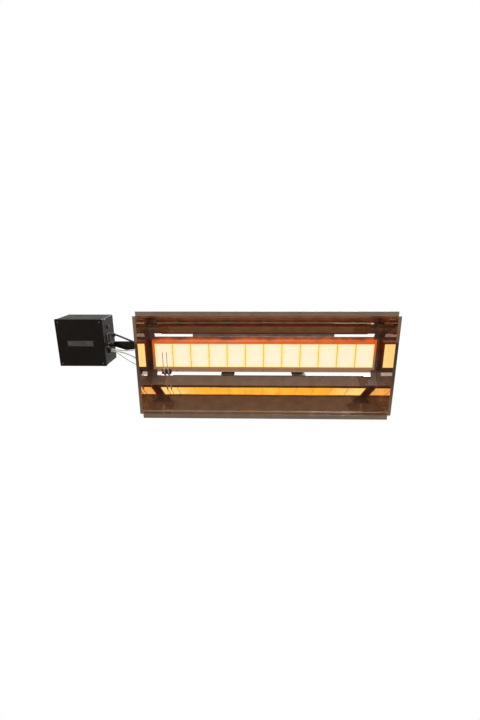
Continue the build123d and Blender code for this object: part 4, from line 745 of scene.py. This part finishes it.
@dataclass
class Leads:
    """The two electrode leads and the earth lead, with what is fitted on their ends."""

    lead_diameter: float = 0.007
    earth_diameter: float = 0.0035
    boot_length: float = 0.026
    boot_radius: float = 0.0058
    boot_overlap: float = 0.008
    ring_radius: float = 0.0052
    ring_thickness: float = 0.0010
    barrel_radius: float = 0.0027
    barrel_length: float = 0.009

    INSULATOR_WAY = Vector((0.0, 0.5623, -0.8269))
    EARTH_SCREW = Vector((-0.575, at(0.228), -0.0892))
    ENDS = {"ignition": Vector((-0.526, at(0.24086), -0.13973)),
            "sensing": Vector((-0.505, at(0.24086), -0.13973))}
    IGNITION: tuple[Point, ...] = (
        (-0.808, 0.224, 0.0255), (-0.780, 0.224, 0.0255), (-0.746, 0.225, 0.020), (-0.712, 0.226, 0.019),
        (-0.680, 0.227, 0.025), (-0.652, 0.228, 0.014), (-0.634, 0.229, -0.013), (-0.626, 0.231, -0.045),
        (-0.620, 0.235, -0.078), (-0.614, 0.242, -0.107), (-0.608, 0.252, -0.136), (-0.600, 0.263, -0.163),
        (-0.586, 0.273, -0.184), (-0.560, 0.282, -0.199), (-0.532, 0.274, -0.190))
    SENSING: tuple[Point, ...] = (
        (-0.808, 0.224, 0.017), (-0.782, 0.224, 0.017), (-0.750, 0.225, 0.010), (-0.720, 0.227, -0.001),
        (-0.694, 0.230, -0.015), (-0.670, 0.235, -0.034), (-0.652, 0.241, -0.058), (-0.640, 0.247, -0.084),
        (-0.630, 0.257, -0.112), (-0.616, 0.270, -0.139), (-0.598, 0.285, -0.163), (-0.574, 0.296, -0.184),
        (-0.544, 0.298, -0.202), (-0.518, 0.280, -0.194))
    EARTH: tuple[Point, ...] = (
        (-0.808, 0.218, 0.016), (-0.788, 0.218, 0.016), (-0.766, 0.219, 0.003), (-0.741, 0.220, -0.017),
        (-0.713, 0.222, -0.038), (-0.685, 0.225, -0.056), (-0.660, 0.230, -0.072), (-0.640, 0.237, -0.084))
    EARTH_LAST: tuple[Point, ...] = (
        (-0.0504, 0.0181, -0.002), (-0.0397, 0.030, -0.005), (-0.0242, 0.0339, -0.006),
        (-0.0092, 0.0284, -0.004), (0.0, 0.0153, 0.0), (0.0, 0.0, 0.0))

    def build(self) -> None:
        """Lay all three leads."""
        for name, route, length in (("ignition", self.IGNITION, 0.493), ("sensing", self.SENSING, 0.475)):
            end = self.ENDS[name]
            points = [Vector((x, at(depth), z)) for x, depth, z in route]
            points += [end + self.INSULATOR_WAY * 0.030, end]
            boot = self.boot(end, f"{name}_boot")
            self.lay(f"{name}_cord", f"{name}_lead", points, self.lead_diameter, "lead_silicone")
        points = [Vector((x, at(depth), z)) for x, depth, z in self.EARTH]
        points += [self.EARTH_SCREW + Vector(step) for step in self.EARTH_LAST]
        ring = self.ring_terminal()
        self.lay("earth_cord", "earth_lead", points, self.earth_diameter, "earth_sleeve")

    def lay(self, name: str, node: str, points: Sequence[Vector], diameter: float, slot: str) -> None:
        """Lay one lead as a smooth spline.

        Args:
            name: The piece's name.
            node: The CAD node that it replaces.
            points: Control points in the row frame.
            diameter: The lead's diameter.
            slot: Material slot and finish.
        """
        curve = bpy.data.curves.new(name, "CURVE")
        curve.dimensions = "3D"
        curve.bevel_depth = diameter / 2
        curve.bevel_resolution = 4
        curve.resolution_u = 8
        curve.use_fill_caps = True
        spline = curve.splines.new("NURBS")
        spline.points.add(len(points) - 1)
        for control, point in zip(spline.points, points):
            control.co = (*point, 1.0)
        spline.order_u = 3
        spline.use_endpoint_u = True
        curve.materials.append(FINISHES[slot].material())
        obj = link(bpy.data.objects.new(name, curve))
        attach(obj, "heater")
        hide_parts(node)
        log.info("%s: %d control points", name, len(points))

    def boot(self, end: Vector, name: str) -> bpy.types.Object:
        """A tapered silicone boot over the end of an insulator."""
        way = self.INSULATOR_WAY
        centre = end + way * (self.boot_length / 2 - self.boot_overlap)
        boot = Blank.rod(self.boot_radius, self.boot_length, tuple(centre), tuple(way), 28)
        tip = end + way * (self.boot_length - self.boot_overlap)
        boot.edit().facing(tuple(way)).grow((0.74, 0.74, 0.74), tuple(tip))
        for lift, factor in ((0.0015, 1.12), (0.0012, 1.0), (0.0015, 0.86)):
            boot.push(tuple(way * lift)).grow((factor, factor, factor), tuple(tip))
        return boot.done().bevel(0.0004, 2, 25.0).smooth().piece(name, "heater", "lead_silicone")

    def ring_terminal(self) -> bpy.types.Object:
        """A crimped ring terminal under the earth lead's screw."""
        middle = tuple(self.EARTH_SCREW + Vector((0, 0.0009, 0)))
        ring = Blank.rod(self.ring_radius, self.ring_thickness, middle, (0, 1, 0), 32)
        ring.edit().facing((0, 1, 0)).inset(0.0008).inset(0.0014, -0.0002).done()
        middle = tuple(self.EARTH_SCREW + Vector((0, 0.0062, 0)))
        barrel = Blank.rod(self.barrel_radius, self.barrel_length, middle, (0, 1, 0), 24)
        barrel.edit().facing((0, 1, 0)).inset(0.0005).push((0, -0.002, 0)).done()
        terminal = ring.join([barrel]).bevel(0.0002, 2).smooth()
        return terminal.piece("earth_ring_terminal", "heater", "fasteners")


@dataclass
class Plaques:
    """Twelve ceramic plaques, their faces dimpled all over."""

    columns: int = 14
    rows: int = 20
    edge: float = 0.0012
    rim: float = 0.0009
    dimple: float = 0.0007

    def build(self) -> None:
        """Make one plaque at each CAD plaque's place."""
        nodes = sorted(name for name in frame["nodes"] if name.startswith("ceramic_plaque_"))
        low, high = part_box(nodes[0])
        pattern = self.shape(low, high)
        for node in nodes:
            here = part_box(node)[0]
            plaque = pattern.copy(Matrix.Translation(here - low))
            plaque.piece(node.replace("ceramic_plaque", "glowing_plaque"), "heater", "plaque_ceramic", [node])
        bpy.data.objects.remove(pattern.obj)

    def shape(self, low: Vector, high: Vector) -> Blank:
        """One plaque between two corners: dimpled face, bevelled rim, sides and back."""
        size = high - low
        centre = (low + high) / 2
        face = Blank.grid(self.columns, self.rows, (size.x - 2 * self.edge, size.z - 2 * self.edge),
                          (centre.x, low.y, centre.z))
        face.edit()
        bpy.ops.mesh.select_all(action="SELECT")
        face.inset(self.rim, 0.0, True).inset(self.rim, -self.dimple, True)
        bpy.ops.mesh.select_mode(type="EDGE")
        bpy.ops.mesh.select_all(action="DESELECT")
        bpy.ops.mesh.select_non_manifold()
        bpy.ops.mesh.extrude_edges_move(TRANSFORM_OT_translate={"value": (0, self.edge, 0)})
        wide = (size.x / (size.x - 2 * self.edge), 1.0, size.z / (size.z - 2 * self.edge))
        face.grow(wide, tuple(centre))
        bpy.ops.mesh.extrude_edges_move(TRANSFORM_OT_translate={"value": (0, size.y - self.edge, 0)})
        bpy.ops.mesh.edge_face_add()
        bpy.ops.mesh.select_all(action="SELECT")
        bpy.ops.mesh.normals_make_consistent(inside=False)
        return face.done().smooth(25.0)


class Recess(Enum):
    """Drive recess of a screw head."""

    CROSS = "cross"
    SLOT = "slot"


@dataclass
class Screws:
    """Screw heads with a drive recess, one at each solid of a CAD node."""

    node: str
    name: str
    recess: Recess
    head_radius: float
    head_height: float
    shank_radius: float
    outside: Vector
    body: str = "heater"
    slot: str = "fasteners"

    TAPER = 0.84
    FLAT = 0.3
    EDGE = 0.12
    RECESS_LENGTH = 1.15
    RECESS_WIDTH = 0.24
    RECESS_LIFT = 0.98
    TWIST = 0.7

    def head(self, shank: float) -> Blank:
        """One screw along +Z, its head's seat at the origin."""
        top = self.head_height
        head = Blank.rod(self.head_radius, top, (0, 0, top / 2))
        taper = (self.TAPER, self.TAPER, 1.0)
        head.edit().facing((0, 0, 1)).grow(taper, (0, 0, top)).inset(self.head_radius * self.FLAT)
        head.done().bevel(self.head_radius * self.EDGE, 2, 30.0)
        length, width = self.head_radius * self.RECESS_LENGTH, self.head_radius * self.RECESS_WIDTH
        arms = ((length, width, top), (width, length, top))
        for size in arms if self.recess is Recess.CROSS else arms[:1]:
            head.cut(Blank.slab(size, (0, 0, top * self.RECESS_LIFT)))
        stem = Blank.rod(self.shank_radius, shank, (0, 0, -shank / 2), sides=20)
        return head.join([stem]).smooth()

    def build(self) -> bpy.types.Object:
        """Place a screw at each solid."""
        copies = []
        for low, high in CadNodes.solids(self.node):
            size = high - low
            middle = (low + high) / 2
            axis = max(range(3), key=lambda index: size[index])
            way = Vector((0, 0, 0))
            way[axis] = 1.0 if middle[axis] > self.outside[axis] else -1.0
            shank = size[axis] - self.head_height
            seat = middle + way * (size[axis] / 2 - self.head_height)
            turn = way.to_track_quat("Z", "Y").to_matrix().to_4x4()
            twist = Matrix.Rotation(self.TWIST * len(copies), 4, "Z")
            pattern = self.head(shank)
            copies.append(pattern.copy(Matrix.Translation(seat) @ turn @ twist))
            bpy.data.objects.remove(pattern.obj)
        return copies[0].join(copies[1:]).piece(self.name, self.body, self.slot, [self.node])


@dataclass
class ControlBox:
    """Black control box: screws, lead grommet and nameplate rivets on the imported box."""

    grommet_radius: float = 0.0105
    rivet_radius: float = 0.0016
    rivet_height: float = 0.0008
    rivet_inset: float = 0.005

    def build(self) -> None:
        """Add the box's small fittings."""
        low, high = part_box("box_body")
        Screws("box_screws", "box_cover_screws", Recess.CROSS, 0.004, 0.0022, 0.002,
               Vector(((low.x + high.x) / 2, high.y, (low.z + high.z) / 2))).build()
        self.grommet()
        self.plate_rivets()

    def grommet(self) -> None:
        """Rubber insert in the cable gland, around the leads."""
        low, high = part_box("cable_gland")
        centre = (high.x - 0.0004, (low.y + high.y) / 2, (low.z + high.z) / 2)
        insert = Blank.rod(self.grommet_radius, 0.0024, centre, (1, 0, 0), 40)
        insert.edit().facing((1, 0, 0)).inset(0.0016, -0.0008).inset(0.0012, 0.0006)
        insert.done().bevel(0.0003, 2).smooth().piece("gland_grommet", "heater", "black_plastic")

    def plate_rivets(self) -> None:
        """Four small drive rivets at the blank nameplate's corners."""
        low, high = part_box("nameplate")
        rivets = []
        for x in (low.x + self.rivet_inset, high.x - self.rivet_inset):
            for z in (low.z + self.rivet_inset, high.z - self.rivet_inset):
                rivet = Blank.rod(self.rivet_radius, self.rivet_height, (x, low.y, z), (0, -1, 0), 20)
                top = (x, low.y - self.rivet_height / 2, z)
                rivet.edit().facing((0, -1, 0)).grow((0.6, 1.0, 0.6), top)
                rivets.append(rivet.done())
        rivets[0].join(rivets[1:]).smooth().piece("nameplate_rivets", "heater", "fasteners")


class Burner:
    """Burner face: plaques and the frame's screws."""

    def build(self) -> None:
        """Add plaques and screws."""
        Plaques().build()
        low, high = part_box("frame_screws")
        Screws("frame_screws", "burner_frame_screws", Recess.SLOT, 0.004, 0.002, 0.002,
               Vector((0, high.y, 0))).build()


@dataclass
class ReturnSprings:
    """Springs over the gas valve's plungers; the real ones shorten as the plungers lift, and these are wound
    at one length.
    """

    wire: float = 0.0006
    pitch: float = 0.0024
    travel: float = 0.003

    def build(self) -> None:
        """Wind both springs and put them on the heater body."""
        boxes = CadNodes.solids("valve_springs")
        coils = [self.coil(low, high) for low, high in boxes]
        springs = coils[0].join(coils[1:]).smooth(60.0)
        obj = springs.piece("valve_return_springs", "heater", "spring_steel", ["valve_springs"])
        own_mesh(obj)

    def coil(self, low: Vector, high: Vector) -> Blank:
        """One spring between two corners, screwed up from a round section."""
        length = high.z - low.z - 2 * self.wire
        turns = max(1, round(length / self.pitch))
        Blank.clear()
        bpy.ops.mesh.primitive_circle_add(vertices=10, radius=self.wire * 0.98, rotation=(math.pi / 2, 0, 0),
                                          location=((high.x - low.x) / 2 - self.wire, 0, 0))
        coil = Blank.placed()
        modifier = coil.obj.modifiers.new("wind", "SCREW")
        modifier.iterations = turns
        modifier.screw_offset = length / turns
        modifier.steps = modifier.render_steps = 24
        modifier.use_merge_vertices = True
        coil.apply("wind")
        coil.edit()
        bpy.ops.mesh.select_all(action="SELECT")
        bpy.ops.mesh.fill_holes(sides=0)
        bpy.ops.mesh.select_all(action="SELECT")
        bpy.ops.mesh.normals_make_consistent(inside=False)
        coil.done()
        foot = Vector(((low.x + high.x) / 2, (low.y + high.y) / 2, low.z + self.wire))
        coil.obj.data.transform(Matrix.Translation(foot))
        return coil


@dataclass
class PaintedShadeHems:
    """Folded hems along the rear edges of the reflector's long panels, dark as painted shade: they stand in
    for the shadowed rear flanges.
    """

    height: float = 0.0027
    thickness: float = 0.0014
    depth: float = 0.2119
    edge: float = 0.1150
    left: float = -0.530
    right: float = 0.530
    notch: float = -0.4835

    def build(self) -> None:
        """Hem both panels, the bottom one up to the gap for the electrodes."""
        self.hem("top_panel_painted_shade_hem", self.left, 1)
        self.hem("bottom_panel_painted_shade_hem", self.notch, -1)

    def hem(self, name: str, left: float, side: int) -> None:
        """One hem at a rear edge; side is 1 for the top panel and -1 for the bottom one."""
        centre = ((left + self.right) / 2, at(self.depth + self.thickness / 2),
                  side * (self.edge - self.height / 2))
        strip = Blank.slab((self.right - left, self.thickness, self.height), centre)
        # The dark steel on this strip is painted shade, laid over the shadowed rear flange.
        strip.bevel(0.0005, 3).smooth().piece(name, "heater", "pipe_steel")


@dataclass
class Louvres:
    """Pressed ventilation louvres on the underside of the control box."""

    count: int = 7
    length: float = 0.062
    width: float = 0.0085
    rise: float = 0.0022
    pitch: float = 0.0165

    def build(self) -> None:
        """Press two rows of louvres."""
        low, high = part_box("box_body")
        hoods = []
        for column in (0.3, 0.7):
            for index in range(self.count):
                x = low.x + (high.x - low.x) * column
                y = (low.y + high.y) / 2 + (index - (self.count - 1) / 2) * self.pitch
                hoods.append(self.hood(x, y, low.z))
        hoods[0].join(hoods[1:]).smooth(30.0).piece("box_louvres", "heater", "black_enamel")

    def hood(self, x: float, y: float, z: float) -> Blank:
        """One hood under the box, its mouth towards the wall."""
        hood = Blank.slab((self.length, self.width, self.rise), (x, y, z - self.rise / 2))
        hood.edit().facing((0, 0, -1)).grow((0.9, 0.55, 1.0), (x, y + self.width / 2, z))
        hood.done().bevel(0.0006, 2, 20.0)
        hood.edit().pick(lambda face: face.normal.y > 0.95 and face.calc_area() > 0.00002)
        hood.inset(0.0004, -0.0012)
        return hood.done()


@dataclass
class SpotWelds:
    """Rows of resistance-weld dimples along the burner housing's back."""

    radius: float = 0.0026
    rise: float = 0.0003
    height: float = 0.061
    pitch: float = 0.038
    first: float = 0.016
    last: float = 0.01
    strap: tuple[float, float] = (0.150, 0.230)
    rail: float = 0.386
    arm: float = -0.50

    def build(self) -> None:
        """Set the welds wherever no bracket covers the housing."""
        low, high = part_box("burner_housing")
        spots = []
        for row in (-1, 1):
            x = low.x + self.first
            while x < high.x - self.last:
                if self.free(x, row):
                    spots.append(self.spot((x, high.y, row * self.height)))
                x += self.pitch
        spots[0].join(spots[1:]).smooth(50.0).piece("housing_spot_welds", "heater", "burner_steel")

    def free(self, x: float, row: int) -> bool:
        """Whether a spot of a row lies clear of the straps, the rail and the support arm."""
        strap = self.strap[0] < abs(x) < self.strap[1]
        rail = row > 0 and abs(x) < self.rail
        arm = row > 0 and x < self.arm
        return not (strap or rail or arm)

    def spot(self, centre: Point) -> Blank:
        """One shallow disc with a sunken middle."""
        spot = Blank.rod(self.radius, 2 * self.rise, centre, (0, 1, 0), 16)
        top = (centre[0], centre[1] + self.rise, centre[2])
        spot.edit().facing((0, 1, 0)).grow((0.75, 1.0, 0.75), top)
        return spot.inset(0.0006).inset(0.0005, -self.rise * 0.6).done()


@dataclass
class Studio:
    """Camera, pale floor, white surroundings and soft lights."""

    lens: float = 18.65
    place: Point = (-0.0716, -2.1107, 0.5305)
    right: Point = (0.999650, 0.026150, -0.004052)
    above: Point = (-0.003533, 0.283660, 0.958918)
    forward: Point = (-0.026225, 0.958568, -0.283654)
    floor_height: float = -1.25
    floor_half: float = 6.0

    def build(self) -> None:
        """Set the studio up."""
        self.camera()
        self.world()
        self.floor()
        for name, centre, aim, size, power, mirrored in (
            ("key", (-1.6, -3.2, 2.6), (0, -0.3, 0), (2.2, 1.2), 75.0, False),
            ("fill", (2.8, -2.2, 0.9), (0, -0.3, 0), (1.4, 2.0), 26.0, False),
            ("top", (0.2, 0.2, 3.0), (0, -0.2, 0), (3.0, 1.4), 40.0, True),
            ("rear", (0.6, 3.0, 1.4), (0, 0, 0), (2.4, 1.6), 60.0, True),
        ):
            light = self.light(name, Vector(centre), Vector(aim), size, power)
            light.visible_glossy = mirrored
        scene = bpy.context.scene
        scene.view_settings.view_transform = "Standard"
        scene.view_settings.look = "None"

    def camera(self) -> None:
        """Camera at the heater's front, a little above it."""
        data = bpy.data.cameras.new("camera")
        data.lens = self.lens
        data.sensor_width = 36.0
        data.clip_end = 60.0
        obj = link(bpy.data.objects.new("camera", data))
        columns = [Vector(self.right), Vector(self.above), -Vector(self.forward)]
        turn = Matrix(columns).transposed().to_4x4()
        obj.matrix_world = Matrix.Translation(Vector(self.place)) @ turn
        bpy.context.scene.camera = obj

    def world(self) -> None:
        """White to the eye, dim in front and brighter behind in reflections."""
        world = bpy.data.worlds.new("surroundings")
        bpy.context.scene.world = world
        world.use_nodes = True
        net = Net(world.node_tree)
        world.node_tree.nodes.clear()
        way = net.add("SeparateXYZ", Vector=net.add("TexCoord").outputs["Generated"])
        ramp = net.add("ValToRGB", Fac=net.span(way.outputs[1], -1.0, 1.0))
        elements = ramp.color_ramp.elements
        elements[0].color = (0.225, 0.195, 0.17, 1.0)
        elements[1].color = (0.40, 0.385, 0.365, 1.0)
        dim = net.add("Background", Color=ramp.outputs[0])
        net.add("OutputWorld", Surface=net.seen(dim, "Background").outputs[0])

    def floor(self) -> None:
        """Floor well below the heater: white to the camera, and to other rays painted dark in front and pale
        behind, a painted brighter room behind the heater for the reflections.
        """
        Blank.clear()
        bpy.ops.mesh.primitive_plane_add(size=2 * self.floor_half, location=(0, 0, self.floor_height))
        floor = bpy.context.active_object
        floor.name = "floor"
        material = bpy.data.materials.new("floor")
        material.use_nodes = True
        material.node_tree.nodes.clear()
        net = Net(material.node_tree)
        # Painted light: the floor turns pale behind the heater only so that reflections show brighter
        # surroundings there.
        behind = net.span(net.place()[2], 0.3, 1.2)
        pale = net.add("BsdfDiffuse", Color=net.blend(behind, (0.24, 0.21, 0.185), (0.85, 0.84, 0.82)))
        net.add("OutputMaterial", Surface=net.seen(pale, "Emission").outputs[0])
        floor.data.materials.append(material)

    def light(self, name: str, centre: Vector, aim: Vector, size: tuple[float, float],
              power: float) -> bpy.types.Object:
        """A soft rectangular light, its power in watts, that the camera doesn't see."""
        data = bpy.data.lights.new(name, "AREA")
        data.shape = "RECTANGLE"
        data.size, data.size_y = size
        data.energy = power
        obj = link(bpy.data.objects.new(name, data))
        turn = (aim - centre).to_track_quat("-Z", "Y").to_matrix().to_4x4()
        obj.matrix_world = Matrix.Translation(centre) @ turn
        obj.visible_camera = False
        return obj


def main() -> None:
    """Build the studio, the leads and every sub-assembly around the frame."""
    logging.basicConfig(level=logging.INFO, format="%(name)s: %(message)s")
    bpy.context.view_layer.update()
    Studio().build()
    Leads().build()
    CadNodes().dress()
    Burner().build()
    PaintedShadeHems().build()
    SpotWelds().build()
    ControlBox().build()
    ReturnSprings().build()
    Louvres().build()


if __name__ == "__main__":
    main()
